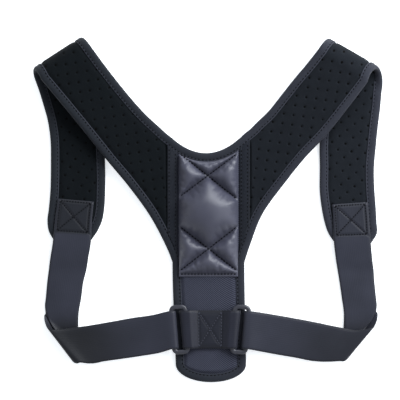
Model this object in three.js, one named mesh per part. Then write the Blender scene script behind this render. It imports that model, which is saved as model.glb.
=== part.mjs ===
// A shoulder and upper back brace, lying flat with its front straps folded under.
// x runs across the back, y from the foot of the stem up to the shoulders, z up from the table.
import * as THREE from 'three';

// Overall plan
const HALF_SPAN = 174;        // centre line to the outermost edge of a shoulder strap
const LENGTH = 344;           // foot of the stem to the top of the shoulder folds
const STRAP_WIDTH = 56;       // shoulder strap, over its bound edges
const FOLD_LEFT = 19;         // height between the two layers of the left shoulder fold
const FOLD_RIGHT = 22;        // the right fold stands a little more open

// Sheet goods
const FOAM_THICK = 5.2;       // perforated foam of the shoulder straps
const PINCH_THICK = 2.4;      // foam where the binding or a seam squeezes it
const RAMP = 2;               // width over which the foam swells from pinched to full
const BINDING_WIDTH = 8.5;    // edge tape, from the edge inwards on both faces
const BINDING_WALL = 0.9;
const CLEARANCE = 0.3;        // between sewn pieces

// Back panel with its stem
const STEM_WIDTH = 72;
const STEM_LEAN = 2.6;        // the foot lies this far to the right of the centre line
const FOOT_TAPER = 0.8;       // each side of the stem draws in by this at the foot
const FOOT_ROUND = 18;        // height of the rounded foot
const PANEL_THICK = 6;
const PANEL_RISE = 4.5;       // the panel lifts off the table by this at the neck
const NECK_HEIGHT = 229;      // foot to the lowest point of the neck edge
const NECK_DEPTH = 17;        // rise of the neck edge over half the panel's width
const SEAM_FOOT = 120;        // foot to where the strap seams run out at the arm edges
const TAPE_WIDTH = 10;
const TAPE_THICK = 1.6;
const SEAM_BLEND = 20;        // height over which the panel's side goes from bound to seamed

// Quilted pad on the panel
const PAD_WIDTH = 59;
const PAD_FOOT = 105.6;       // foot of the stem to the pad's lower edge
const PAD_SKIN = 1;           // cover at the stitching
const PAD_PUFF = 5.5;         // filling between the stitch lines
const PUFF_REACH = 9;         // distance over which a puff rises from a stitch line

// Webbing and the two rings
const WEBBING_WIDTH = 38;
const WEBBING_THICK = 1.4;
const RING_WIDTH = 18.5;
const RING_BAR = 4.6;
const RING_THICK = 3.6;
const RING_ROUND = 6.4;       // outer corner radius of a ring
const RING_OFFSET = 30.3;     // middle of the stem to the middle of a ring
const RING_HEIGHT_UP = 53;    // foot to the middle of a ring
const RING_TILT = 4.5;        // degrees, tops leaning outwards
const RING_PLAY = 1.2;        // webbing's play in a ring, each side
const SEWN_WIDTH = 24;        // middle of the centre webbing, sewn down flat
const PLY_BED = 0.2;          // lowest ply off the table
const PLY_SPACE = 0.6;        // between two plies that lie together
const CORNER_INNER = 4.6;     // height of the inner ply's turn at the side corner
const CORNER_OUTER = 10.4;    // height of the outer ply's turn
const RUN_SAG = 3;            // how far the webbing dips between corner and ring

const FOAM_HALF = FOAM_THICK / 2;
const PINCH_HALF = PINCH_THICK / 2;
const PANEL_HALF = PANEL_THICK / 2;
const EDGE_INSET = BINDING_WALL + CLEARANCE;
const BINDING_LIP = BINDING_WIDTH + 3 * CLEARANCE;
const STEM_HALF = STEM_WIDTH / 2;
const FOOT_HALF = STEM_HALF - FOOT_TAPER;

// Rows of a shoulder strap from the seam over the fold to the front end. x and y are the middle of
// the row as shares of HALF_SPAN and LENGTH, wide is a share of STRAP_WIDTH, turn is the direction in
// degrees from the arm edge to the neck edge, and the lifts are shares of the fold's height.
const BESIDE_TAPE = (STEM_HALF + TAPE_WIDTH / 2 + 2 * CLEARANCE) / HALF_SPAN;
const STRAP_BACK = {
  left: [
    { x: BESIDE_TAPE, y: 0.552, wide: 2.07, turn: 89, neck: 0.23, arm: 0.03 },
    { x: 0.313, y: 0.614, wide: 1.66, turn: 94, neck: 0.27, arm: 0.12 },
    { x: 0.411, y: 0.674, wide: 1.32, turn: 103, neck: 0.36, arm: 0.27 },
    { x: 0.511, y: 0.733, wide: 1.21, turn: 109, neck: 0.50, arm: 0.46 },
    { x: 0.603, y: 0.791, wide: 1.10, turn: 119, neck: 0.66, arm: 0.63 },
    { x: 0.704, y: 0.855, wide: 1.04, turn: 132, neck: 0.85, arm: 0.83 },
    { x: 0.812, y: 0.924, wide: 1.06, turn: 147, neck: 1, arm: 1 },
  ],
  right: [
    { x: BESIDE_TAPE, y: 0.565, wide: 2.05, turn: 90, neck: 0.21, arm: 0.03 },
    { x: 0.296, y: 0.621, wide: 1.63, turn: 93, neck: 0.25, arm: 0.11 },
    { x: 0.391, y: 0.683, wide: 1.29, turn: 104, neck: 0.34, arm: 0.26 },
    { x: 0.486, y: 0.743, wide: 1.20, turn: 110, neck: 0.49, arm: 0.45 },
    { x: 0.580, y: 0.797, wide: 1.15, turn: 120, neck: 0.65, arm: 0.62 },
    { x: 0.681, y: 0.860, wide: 1.07, turn: 133, neck: 0.84, arm: 0.83 },
    { x: 0.767, y: 0.917, wide: 1.05, turn: 146, neck: 1, arm: 1 },
  ],
};
const STRAP_BEND = {
  left: { x: 0.858, y: 0.951, wide: 1.04, turn: 147 },
  right: { x: 0.826, y: 0.950, wide: 1.06, turn: 150 },
};
const STRAP_FRONT = {
  left: [
    { x: 0.839, y: 0.917, wide: 1.10, turn: 148 },
    { x: 0.823, y: 0.881, wide: 1.02, turn: 157 },
    { x: 0.796, y: 0.824, wide: 0.97, turn: 166 },
    { x: 0.769, y: 0.767, wide: 0.96, turn: 174 },
    { x: 0.753, y: 0.706, wide: 0.96, turn: 178 },
    { x: 0.749, y: 0.631, wide: 0.97, turn: 180 },
    { x: 0.750, y: 0.558, wide: 0.98, turn: 180 },
    { x: 0.757, y: 0.506, wide: 0.99, turn: 180 },
    { x: 0.767, y: 0.471, wide: 0.98, turn: 180 },
    { x: 0.777, y: 0.439, wide: 0.87, turn: 180 },
    { x: 0.784, y: 0.408, wide: 0.63, turn: 182 },
  ],
  right: [
    { x: 0.825, y: 0.901, wide: 1.27, turn: 146 },
    { x: 0.829, y: 0.856, wide: 1.10, turn: 156 },
    { x: 0.822, y: 0.805, wide: 1.03, turn: 170 },
    { x: 0.810, y: 0.750, wide: 1.02, turn: 176 },
    { x: 0.800, y: 0.690, wide: 1.01, turn: 179 },
    { x: 0.795, y: 0.622, wide: 0.97, turn: 180 },
    { x: 0.796, y: 0.558, wide: 0.98, turn: 180 },
    { x: 0.805, y: 0.509, wide: 0.97, turn: 180 },
    { x: 0.816, y: 0.465, wide: 0.93, turn: 180 },
    { x: 0.828, y: 0.433, wide: 0.87, turn: 180 },
    { x: 0.830, y: 0.404, wide: 0.65, turn: 180 },
  ],
};
const BACK_STEPS = [0, 1, 1.15, 2, 2.5, 3, 3.5, 4, 4.5, 5, 6, 7];
const FRONT_STEPS = [0, 0.5, 1, 2, 3, 4, 5, 6, 7, 7.5, 8, 8.5, 8.8, 9, 10];
const FOLD_STEPS = 6;
const FLAT_ROWS = 2;          // back rows next to the seam, where the binding turns with the outline
const FOAM_STARTS = 1;        // back row past which the foam swells
const FOAM_ENDS = 9;          // front row at which it is pinched again
const FOAM_SWELL = 6;         // swells over a sixth of a row
const SLANT_LIMIT = 0.4;      // least sine between a row and its edge
const MITRE_LIMIT = 0.6;      // least cosine between the binding's mitre and its edge

// Rows of the side webbing, as shares of HALF_SPAN, LENGTH and WEBBING_WIDTH. The upright runs from
// the patch on the front strap down to the corner, the level one from the corner to the ring.
const UPRIGHT = {
  left: [
    { x: 0.760, y: 0.529, wide: 0.94, turn: 185 },
    { x: 0.774, y: 0.471, wide: 0.97, turn: 186 },
    { x: 0.784, y: 0.405, wide: 1.00, turn: 182 },
    { x: 0.799, y: 0.360, wide: 1.00, turn: 180 },
    { x: 0.809, y: 0.326, wide: 0.99, turn: 180 },
    { x: 0.822, y: 0.291, wide: 0.95, turn: 180 },
    { x: 0.832, y: 0.246, wide: 0.93, turn: 182 },
    { x: 0.842, y: 0.209, wide: 0.90, turn: 190 },
  ],
  right: [
    { x: 0.811, y: 0.520, wide: 0.93, turn: 184 },
    { x: 0.819, y: 0.467, wide: 0.95, turn: 182 },
    { x: 0.825, y: 0.408, wide: 0.97, turn: 182 },
    { x: 0.835, y: 0.360, wide: 0.96, turn: 180 },
    { x: 0.845, y: 0.326, wide: 0.95, turn: 180 },
    { x: 0.853, y: 0.291, wide: 0.92, turn: 180 },
    { x: 0.864, y: 0.246, wide: 0.90, turn: 182 },
    { x: 0.872, y: 0.209, wide: 0.88, turn: 190 },
  ],
};
const LEVEL = {
  left: [
    { x: 0.753, y: 0.105, wide: 1.13, turn: 233 },
    { x: 0.644, y: 0.113, wide: 1.06, turn: 240 },
    { x: 0.529, y: 0.122, wide: 1.04, turn: 246 },
    { x: 0.411, y: 0.132, wide: 1.03, turn: 254 },
    { x: 0.300, y: 0.141, wide: 1.01, turn: 259 },
  ],
  right: [
    { x: 0.770, y: 0.106, wide: 1.11, turn: 228 },
    { x: 0.667, y: 0.112, wide: 1.10, turn: 235 },
    { x: 0.549, y: 0.124, wide: 1.06, turn: 242 },
    { x: 0.428, y: 0.135, wide: 1.03, turn: 251 },
    { x: 0.318, y: 0.145, wide: 1.01, turn: 258 },
  ],
};
// Each corner turn: its last upright row, the row at its outermost line and its first level row
const CORNER = {
  left: {
    inner: [{ x: 0.841, y: 0.160, wide: 0.97, turn: 217 }, { x: 0.833, y: 0.122, wide: 0.86, turn: 232 },
      { x: 0.805, y: 0.112, wide: 0.84, turn: 231 }],
    outer: [{ x: 0.845, y: 0.151, wide: 1.19, turn: 225 }, { x: 0.859, y: 0.119, wide: 1.31, turn: 233 },
      { x: 0.822, y: 0.106, wide: 1.17, turn: 228 }],
  },
  right: {
    inner: [{ x: 0.864, y: 0.158, wide: 0.93, turn: 216 }, { x: 0.858, y: 0.127, wide: 0.83, turn: 234 },
      { x: 0.825, y: 0.115, wide: 0.87, turn: 235 }],
    outer: [{ x: 0.871, y: 0.154, wide: 1.25, turn: 226 }, { x: 0.884, y: 0.126, wide: 1.33, turn: 231 },
      { x: 0.848, y: 0.111, wide: 1.21, turn: 227 }],
  },
};
const CORNER_STEPS = 6;
const RING_TURN_STEPS = 6;
const PATCH_ROWS = 3;         // upright rows that lie on the front strap
const FREE_END_ROW = 3;       // upright row where the lower ply ends

// Stitch lines of the quilting, from end to end, as shares of the pad's width and length
const QUILT_LINES = [
  { x0: 0.00, y0: 1.00, x1: 1.00, y1: 0.62 },
  { x0: 1.00, y0: 1.00, x1: 0.00, y1: 0.64 },
  { x0: 0.00, y0: 0.41, x1: 1.00, y1: 0.04 },
  { x0: 1.00, y0: 0.41, x1: 0.00, y1: 0.04 },
];
const PAD_COLUMNS = 14;
const PAD_ROWS = 24;

const SIDES = { left: -1, right: 1 };

const smooth = (low, high, value) => THREE.MathUtils.smoothstep(value, low, high);
const mix = THREE.MathUtils.lerp;

// Surfaces that the pieces share
const panelLift = (y) => {
  const share = (y - SEAM_FOOT) / (NECK_HEIGHT + NECK_DEPTH - SEAM_FOOT);
  return PANEL_RISE * THREE.MathUtils.clamp(share, 0, 1);
};
const neckEdge = (x) => NECK_HEIGHT + NECK_DEPTH * (x / STEM_HALF) ** 2;
const neckSlope = (x) => 2 * NECK_DEPTH * x / STEM_HALF ** 2;
const neckInset = (x, depth) => neckEdge(x) - depth * Math.hypot(1, neckSlope(x));
const stemHalf = (y) => mix(FOOT_HALF, STEM_HALF, smooth(0, SEAM_FOOT, y));
const stemMiddle = (y) => STEM_LEAN * (1 - smooth(0, SEAM_FOOT, y));
const footInset = (x, depth) => {
  const share = Math.min(1, Math.abs(x) / (FOOT_HALF - depth));
  const flank = (depth - EDGE_INSET) / 2 * share ** 4;
  return depth + (FOOT_ROUND - depth) * (1 - Math.sqrt(1 - share * share)) + flank;
};

// A closed skin between two grids of points, top[i][j] and under[i][j]; a ring joins its two ends
function slab(top, under, ring = false) {
  const rows = top.length, columns = top[0].length, points = [], faces = [];
  for (const p of [top, under].flat(2)) points.push(p.x, p.y, p.z);
  const at = (side, i, j) => side * rows * columns + (i % rows) * columns + j;
  const quad = (a, b, c, d) => faces.push(a, b, c, a, c, d);
  const last = ring ? rows : rows - 1;
  for (let i = 0; i < last; i++) {
    for (let j = 0; j < columns - 1; j++) {
      quad(at(0, i, j), at(0, i + 1, j), at(0, i + 1, j + 1), at(0, i, j + 1));
      quad(at(1, i, j), at(1, i, j + 1), at(1, i + 1, j + 1), at(1, i + 1, j));
    }
    quad(at(0, i, 0), at(1, i, 0), at(1, i + 1, 0), at(0, i + 1, 0));
    const j = columns - 1;
    quad(at(0, i, j), at(0, i + 1, j), at(1, i + 1, j), at(1, i, j));
  }
  if (!ring) {
    for (let j = 0; j < columns - 1; j++) {
      quad(at(0, 0, j), at(0, 0, j + 1), at(1, 0, j + 1), at(1, 0, j));
      const i = rows - 1;
      quad(at(0, i, j), at(1, i, j), at(1, i, j + 1), at(0, i, j + 1));
    }
  }
  return closedGeometry(points, faces);
}

// Turns the faces outwards if the volume that they enclose comes out negative
function closedGeometry(points, faces) {
  const corner = (k) => new THREE.Vector3().fromArray(points, faces[k] * 3);
  let volume = 0;
  for (let k = 0; k < faces.length; k += 3) {
    volume += corner(k).dot(corner(k + 1).cross(corner(k + 2)));
  }
  if (volume < 0) faces.reverse();
  const geometry = new THREE.BufferGeometry();
  geometry.setAttribute('position', new THREE.Float32BufferAttribute(points, 3));
  geometry.setIndex(faces);
  return geometry;
}

// The two ends of a row: its inner edge (neck or armhole side of the webbing) and its outer edge
function rowEnds(side, row, width, innerZ, outerZ) {
  const half = row.wide * width / 2, turn = THREE.MathUtils.degToRad(row.turn);
  const x = row.x * HALF_SPAN, y = row.y * LENGTH;
  const dx = half * Math.cos(turn), dy = half * Math.sin(turn);
  return {
    inner: new THREE.Vector3(SIDES[side] * (x + dx), y + dy, innerZ),
    outer: new THREE.Vector3(SIDES[side] * (x - dx), y - dy, outerZ),
  };
}

function sampleRows(rows, steps) {
  const inner = new THREE.CatmullRomCurve3(rows.map((row) => row.inner), false, 'centripetal');
  const outer = new THREE.CatmullRomCurve3(rows.map((row) => row.outer), false, 'centripetal');
  return steps.map((step) => ({
    inner: inner.getPoint(step / (rows.length - 1)),
    outer: outer.getPoint(step / (rows.length - 1)),
  }));
}

// Rows of a half turn from one layer to the other, reaching out as far as the row at its bend
function halfTurn(from, bend, to, steps) {
  const rows = [];
  for (let step = 1; step < steps; step++) {
    const angle = Math.PI * step / steps, row = {};
    for (const edge of ['inner', 'outer']) {
      const middle = from[edge].clone().lerp(to[edge], 0.5);
      const reach = bend[edge].clone().sub(middle).setZ(0);
      row[edge] = from[edge].clone().lerp(to[edge], (1 - Math.cos(angle)) / 2);
      row[edge].addScaledVector(reach, Math.sin(angle));
    }
    rows.push(row);
  }
  return rows;
}

// Unit normals of a run of rows; they turn over with the sheet
function addNormals(rows, up) {
  const middles = rows.map((row) => row.inner.clone().lerp(row.outer, 0.5));
  rows.forEach((row, i) => {
    const along = middles[Math.min(i + 1, rows.length - 1)].clone().sub(middles[Math.max(i - 1, 0)]);
    const across = row.inner.clone().sub(row.outer);
    row.normal = across.cross(along).normalize().multiplyScalar(up);
  });
  return rows;
}

// Shoulder strap: its rows from the seam, over the fold, to the front end
function strapRows(side) {
  const fold = side === 'left' ? FOLD_LEFT : FOLD_RIGHT;
  const sign = SIDES[side];
  const seamEnd = (y) => new THREE.Vector3(sign * STEM_HALF, y, PANEL_HALF + panelLift(y));
  const seam = { inner: seamEnd(neckEdge(STEM_HALF)), outer: seamEnd(SEAM_FOOT) };
  const back = [seam, ...STRAP_BACK[side].map((row) => rowEnds(side, row, STRAP_WIDTH,
    PANEL_HALF + row.neck * fold, PANEL_HALF + row.arm * fold))];
  const front = STRAP_FRONT[side].map((row) => rowEnds(side, row, STRAP_WIDTH, FOAM_HALF, FOAM_HALF));
  const bend = rowEnds(side, STRAP_BEND[side], STRAP_WIDTH, 0, 0);
  const backRows = sampleRows(back, BACK_STEPS);
  backRows.forEach((row, i) => {
    row.foam = THREE.MathUtils.clamp((BACK_STEPS[i] - FOAM_STARTS) * FOAM_SWELL, 0, 1);
  });
  const turned = halfTurn(back.at(-1), bend, front[0], FOLD_STEPS);
  turned.forEach((row) => { row.foam = 1; });
  const frontRows = sampleRows(front, FRONT_STEPS);
  frontRows.forEach((row, i) => {
    row.foam = THREE.MathUtils.clamp((FOAM_ENDS - FRONT_STEPS[i]) * FOAM_SWELL, 0, 1);
  });
  return addNormals([...backRows, ...turned, ...frontRows], -sign);
}

// How squarely a row meets one of the strap's edges: the sine of the angle between them
function edgeSlope(rows, i, edge) {
  const from = rows[Math.max(i - 1, 0)][edge], to = rows[Math.min(i + 1, rows.length - 1)][edge];
  const across = rows[i].inner.clone().sub(rows[i].outer).normalize();
  return Math.max(SLANT_LIMIT, Math.sqrt(1 - across.dot(to.clone().sub(from).normalize()) ** 2));
}

// Direction from a strap's front end back along the strap
function endwards(rows) {
  const [before, last] = rows.slice(-2);
  return before.inner.clone().add(before.outer).sub(last.inner).sub(last.outer).normalize();
}

// Foam sheet of a strap: pinched flat under the binding, at the seam and at the front end
function strapFoam(side, rows) {
  const top = [], under = [];
  rows.forEach((row, i) => {
    const span = row.inner.distanceTo(row.outer);
    const outerSlope = edgeSlope(rows, i, 'outer'), innerSlope = edgeSlope(rows, i, 'inner');
    const inset = EDGE_INSET + (i === 0 ? CLEARANCE : 0);
    const places = [
      [inset / outerSlope, 0], [BINDING_LIP / outerSlope, 0], [(BINDING_LIP + RAMP) / outerSlope, 1],
      [span / 2, 1],
      [span - (BINDING_LIP + RAMP) / innerSlope, 1], [span - BINDING_LIP / innerSlope, 0],
      [span - inset / innerSlope, 0],
    ];
    const shift = new THREE.Vector3();
    if (i === 0) shift.x = SIDES[side] * CLEARANCE / 2;
    if (i === rows.length - 1) shift.copy(endwards(rows)).multiplyScalar(EDGE_INSET);
    const half = places.map(([, full]) => mix(PINCH_HALF, FOAM_HALF, full * row.foam));
    const points = places.map(([place]) => row.outer.clone().lerp(row.inner, place / span).add(shift));
    top.push(points.map((p, j) => p.clone().addScaledVector(row.normal, half[j])));
    under.push(points.map((p, j) => p.clone().addScaledVector(row.normal, -half[j])));
  });
  return slab(top, under);
}

// Stations along one edge of a strap. From the first full row on, the binding follows the rows.
function edgeStations(rows, edge) {
  const other = edge === 'inner' ? 'outer' : 'inner';
  return rows.map((row, i) => {
    const station = { at: row[edge], normal: row.normal };
    if (i > FLAT_ROWS) {
      station.lean = row[other].clone().sub(row[edge]).normalize().divideScalar(edgeSlope(rows, i, edge));
      if (i === rows.length - 1) station.lean.add(endwards(rows));
    }
    return station;
  });
}

// Outline of the whole sewn body as a closed run of stations, each with a lean that leads inwards
function outline(straps) {
  const up = new THREE.Vector3(0, 0, 1);
  const flat = (x, y) => ({
    at: new THREE.Vector3(stemMiddle(y) + x, y, PANEL_HALF + panelLift(y)), normal: up,
  });
  const neck = [-0.85, -0.6, -0.3, 0, 0.3, 0.6, 0.85].map((share) => share * STEM_HALF);
  const stemSide = [0.85, 0.6, 0.4].map((share) => share * SEAM_FOOT);
  const footSteps = 14;
  const foot = [];
  for (let step = 0; step <= footSteps; step++) {
    const angle = Math.PI * step / footSteps;
    foot.push(flat(-FOOT_HALF * Math.cos(angle), FOOT_ROUND * (1 - Math.sin(angle))));
  }
  const stations = [
    ...edgeStations(straps.left, 'inner'), ...edgeStations(straps.left, 'outer').reverse(),
    ...stemSide.map((y) => flat(-stemHalf(y), y)), ...foot,
    ...stemSide.reverse().map((y) => flat(stemHalf(y), y)),
    ...edgeStations(straps.right, 'outer'), ...edgeStations(straps.right, 'inner').reverse(),
    ...neck.reverse().map((x) => flat(x, neckEdge(x))),
  ];
  const count = stations.length;
  const inwards = (i, j) => {
    const step = stations[j].at.clone().sub(stations[i].at);
    return stations[i].normal.clone().cross(step).normalize();
  };
  const leans = stations.map((station, i) => {
    const before = inwards((i + count - 1) % count, i), after = inwards(i, (i + 1) % count);
    const lean = before.clone().add(after).normalize();
    return station.lean ?? lean.divideScalar(Math.max(MITRE_LIMIT, lean.dot(after)));
  });
  return stations.map((station, i) => ({ ...station, lean: leans[i] }));
}

// Edge tape folded over the edge, one closed run round the body with mitred corners
function bindingGeometry(stations) {
  const outer = PINCH_HALF + CLEARANCE + BINDING_WALL, inner = PINCH_HALF + CLEARANCE;
  const crest = BINDING_WALL;
  const section = (face, fold) => [[BINDING_WIDTH, face], [crest, face], [fold, face / 2],
    [fold, -face / 2], [crest, -face], [BINDING_WIDTH, -face]];
  const place = (station, depth, height) => station.at.clone()
    .addScaledVector(station.lean, depth).addScaledVector(station.normal, height);
  const skin = (points) => stations.map((station) => points.map((point) => place(station, ...point)));
  return slab(skin(section(outer, 0)), skin(section(inner, BINDING_WALL)), true);
}

// Side of the panel: bound along the stem, seamed to the straps above it
function panelSide(y) {
  const seamed = smooth(SEAM_FOOT, SEAM_FOOT + SEAM_BLEND, y);
  const abutting = smooth(SEAM_FOOT, SEAM_FOOT + SEAM_BLEND * 0.3, y);
  return {
    edge: mix(stemHalf(y) - EDGE_INSET, STEM_HALF - CLEARANCE / 2, abutting),
    lip: mix(stemHalf(y) - BINDING_LIP, STEM_HALF - TAPE_WIDTH / 2 - CLEARANCE, seamed),
  };
}

function panelGeometry() {
  const lipEnd = BINDING_LIP + RAMP;
  const level = (y) => () => y;
  const rows = [
    [(x) => neckInset(x, EDGE_INSET + CLEARANCE), 0], [(x) => neckInset(x, BINDING_LIP), 0],
    [(x) => neckInset(x, lipEnd), 1],
    [level(mix(SEAM_FOOT, NECK_HEIGHT, 0.6)), 1], [level(mix(SEAM_FOOT, NECK_HEIGHT, 0.35)), 1],
    ...[1, 0.6, 0.3, 0].map((share) => [level(SEAM_FOOT + share * SEAM_BLEND), 1]),
    ...[0.8, 0.55, 0.35].map((share) => [level(SEAM_FOOT * share), 1]),
    [(x) => footInset(x, lipEnd + RAMP), 1], [(x) => footInset(x, lipEnd), 0],
    [(x) => footInset(x, EDGE_INSET), 0],
  ];
  const top = [], under = [];
  for (const [height, full] of rows) {
    const side = panelSide(height(STEM_HALF));
    const half = [[side.edge, 0], [side.lip, 0],
      ...[1, 0.72, 0.48, 0.24].map((share) => [(side.lip - RAMP) * share, 1])];
    const columns = [...half.map(([x, swell]) => [-x, swell]), [0, 1], ...half.reverse()];
    const points = columns.map(([x, swell]) => {
      const y = height(x);
      return [stemMiddle(y) + x, y, PANEL_HALF + panelLift(y), mix(PINCH_HALF, PANEL_HALF, full * swell)];
    });
    top.push(points.map(([x, y, z, thick]) => new THREE.Vector3(x, y, z + thick)));
    under.push(points.map(([x, y, z, thick]) => new THREE.Vector3(x, y, z - thick)));
  }
  return slab(top, under);
}

// Quilted pad: puffs of filling that rise from the stitch lines and from the pad's own edges
function padGeometry() {
  const length = NECK_HEIGHT - PAD_FOOT, half = PAD_WIDTH / 2;
  const lines = QUILT_LINES.map((line) => new THREE.Line3(
    new THREE.Vector3(mix(-half, half, line.x0), PAD_FOOT + line.y0 * length, 0),
    new THREE.Vector3(mix(-half, half, line.x1), PAD_FOOT + line.y1 * length, 0)));
  const puff = (x, y) => {
    const spot = new THREE.Vector3(x, y, 0), foot = new THREE.Vector3();
    const away = lines.map((line) => line.closestPointToPoint(spot, true, foot).distanceTo(spot));
    away.push(half - Math.abs(x), y - PAD_FOOT, neckInset(x, BINDING_LIP) - y);
    const fall = 1 - THREE.MathUtils.clamp(Math.min(...away) / PUFF_REACH, 0, 1);
    return PAD_SKIN + PAD_PUFF * Math.sqrt(1 - fall * fall);
  };
  const top = [], under = [];
  for (let row = 0; row <= PAD_ROWS; row++) {
    const topRow = [], underRow = [];
    for (let column = 0; column <= PAD_COLUMNS; column++) {
      const x = mix(-half, half, column / PAD_COLUMNS);
      const y = mix(neckInset(x, BINDING_LIP), PAD_FOOT, row / PAD_ROWS);
      const base = PANEL_THICK + panelLift(y) + CLEARANCE;
      topRow.push(new THREE.Vector3(x, y, base + puff(x, y)));
      underRow.push(new THREE.Vector3(x, y, base));
    }
    top.push(topRow);
    under.push(underRow);
  }
  return slab(top, under);
}

// Height at which the binding's lip along the arm edge crosses the given distance from the centre line
function lipHeight(side, x, stations) {
  const lips = stations.filter((station) => station.at.x * SIDES[side] > 0).map((station) => {
    const lip = station.at.clone().addScaledVector(station.lean, BINDING_WIDTH + CLEARANCE);
    return { out: lip.x * SIDES[side], y: lip.y };
  }).filter((lip) => lip.out < STEM_HALF + STRAP_WIDTH);
  lips.sort((a, b) => a.y - b.y);
  const after = lips.findIndex((lip) => lip.out >= x);
  const low = lips[after - 1], high = lips[after];
  return mix(low.y, high.y, (x - low.out) / (high.out - low.out));
}

// Tape over the seam between panel and strap
function seamTapeGeometry(side, stations) {
  const steps = 6, columns = [-1, 0, 1];
  const top = [], under = [];
  for (let step = 0; step <= steps; step++) {
    const points = columns.map((column) => {
      const x = STEM_HALF + column * TAPE_WIDTH / 2;
      const y = mix(lipHeight(side, x, stations) + RAMP / 2, neckInset(x, BINDING_LIP), step / steps);
      return new THREE.Vector3(SIDES[side] * x, y, PANEL_HALF + panelLift(y) + PINCH_HALF + CLEARANCE);
    });
    under.push(points);
    top.push(points.map((p) => p.clone().setZ(p.z + TAPE_THICK)));
  }
  return slab(top, under);
}

// Heights of the webbing where it goes through the rings
const RING_Z = PANEL_THICK + CLEARANCE + WEBBING_THICK + CLEARANCE + RING_THICK / 2;
const RING_WRAP = RING_THICK / 2 + 2 * CLEARANCE + WEBBING_THICK / 2;
const BAR_OFFSET = (RING_WIDTH - RING_BAR) / 2;
const BED_Z = PLY_BED + WEBBING_THICK / 2;
const SECOND_Z = BED_Z + WEBBING_THICK + PLY_SPACE;
const RING_MIDDLE = stemMiddle(RING_HEIGHT_UP);

// A row along a ring's outer bar, moved towards the slot by the given distance
function ringRow(side, inwards, z) {
  const tilt = THREE.MathUtils.degToRad(RING_TILT), half = WEBBING_WIDTH / 2;
  const reach = BAR_OFFSET - inwards;
  const x = RING_OFFSET + reach * Math.cos(tilt), y = RING_HEIGHT_UP - reach * Math.sin(tilt);
  const dx = half * Math.sin(tilt), dy = half * Math.cos(tilt);
  return {
    inner: new THREE.Vector3(RING_MIDDLE + SIDES[side] * (x - dx), y - dy, z),
    outer: new THREE.Vector3(RING_MIDDLE + SIDES[side] * (x + dx), y + dy, z),
  };
}

// Side webbing as one ribbon: sewn to the front strap, down to the corner, round it to the ring,
// through the ring and back the same way on the outside
function sideWebbingRows(side) {
  const flat = (row, z) => rowEnds(side, row, WEBBING_WIDTH, z, z);
  const patch = FOAM_THICK + CLEARANCE + WEBBING_THICK / 2;
  const last = UPRIGHT[side].length - 1;
  const upright = UPRIGHT[side].map((row, i) => flat(row, mix(patch, SECOND_Z,
    smooth(PATCH_ROWS - 1, PATCH_ROWS + 1, i))));
  const corner = CORNER[side];
  const turn = (rows, low, high) => ({
    from: flat(rows[0], low), bend: flat(rows[1], low), to: flat(rows[2], high),
  });
  const inner = turn(corner.inner, SECOND_Z, SECOND_Z + CORNER_INNER);
  const outer = turn(corner.outer, BED_Z, BED_Z + CORNER_OUTER);
  const level = (start, end, sag) => LEVEL[side].map((row, i) => {
    const share = (i + 1) / (LEVEL[side].length + 1);
    return flat(row, mix(start, end, share) - sag * 4 * share * (1 - share));
  });
  const low = RING_Z - RING_WRAP, high = RING_Z + RING_WRAP;
  const ringIn = ringRow(side, 0, low), ringOut = ringRow(side, 0, high);
  const beside = -RING_BAR / 2 - CLEARANCE;
  const ringBend = ringRow(side, RING_BAR / 2 + 3 * CLEARANCE + WEBBING_THICK / 2, 0);
  const back = [...level(BED_Z + CORNER_OUTER, high, RUN_SAG * 1.2)].reverse();
  const under = UPRIGHT[side].slice(FREE_END_ROW).map((row) => flat(row, BED_Z)).reverse();
  return addNormals([
    ...upright, inner.from, ...halfTurn(inner.from, inner.bend, inner.to, CORNER_STEPS), inner.to,
    ...level(SECOND_Z + CORNER_INNER, low, RUN_SAG), ringRow(side, beside, low), ringIn,
    ...halfTurn(ringIn, ringBend, ringOut, RING_TURN_STEPS), ringOut, ringRow(side, beside, high),
    ...back, outer.to,
    ...halfTurn(outer.to, outer.bend, outer.from, CORNER_STEPS), outer.from, ...under,
  ], 1);
}

function ribbonGeometry(rows, thick) {
  const face = (way) => rows.map((row) => [0, 0.5, 1].map((share) => row.outer.clone()
    .lerp(row.inner, share).addScaledVector(row.normal, way * thick / 2)));
  return slab(face(1), face(-1));
}

function roundedOutline(path, width, height, radius) {
  const x = width / 2, y = height / 2;
  path.moveTo(-x + radius, -y).lineTo(x - radius, -y);
  path.absarc(x - radius, -y + radius, radius, -Math.PI / 2, 0);
  path.lineTo(x, y - radius).absarc(x - radius, y - radius, radius, 0, Math.PI / 2);
  path.lineTo(-x + radius, y).absarc(-x + radius, y - radius, radius, Math.PI / 2, Math.PI);
  path.lineTo(-x, -y + radius).absarc(-x + radius, -y + radius, radius, Math.PI, Math.PI * 1.5);
  return path;
}

function ringGeometry() {
  const bevel = RING_BAR * 0.22, height = WEBBING_WIDTH + 2 * (RING_PLAY + RING_BAR);
  const wide = RING_WIDTH - 2 * bevel, high = height - 2 * bevel, bar = RING_BAR - 2 * bevel;
  const round = RING_ROUND - bevel;
  const shape = roundedOutline(new THREE.Shape(), wide, high, round);
  shape.holes.push(roundedOutline(new THREE.Path(), wide - 2 * bar, high - 2 * bar, round - bar));
  const geometry = new THREE.ExtrudeGeometry(shape, {
    depth: RING_THICK - 2 * bevel, curveSegments: 4,
    bevelThickness: bevel, bevelSize: bevel, bevelSegments: 2,
  });
  return geometry.translate(0, 0, bevel - RING_THICK / 2);
}

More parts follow.
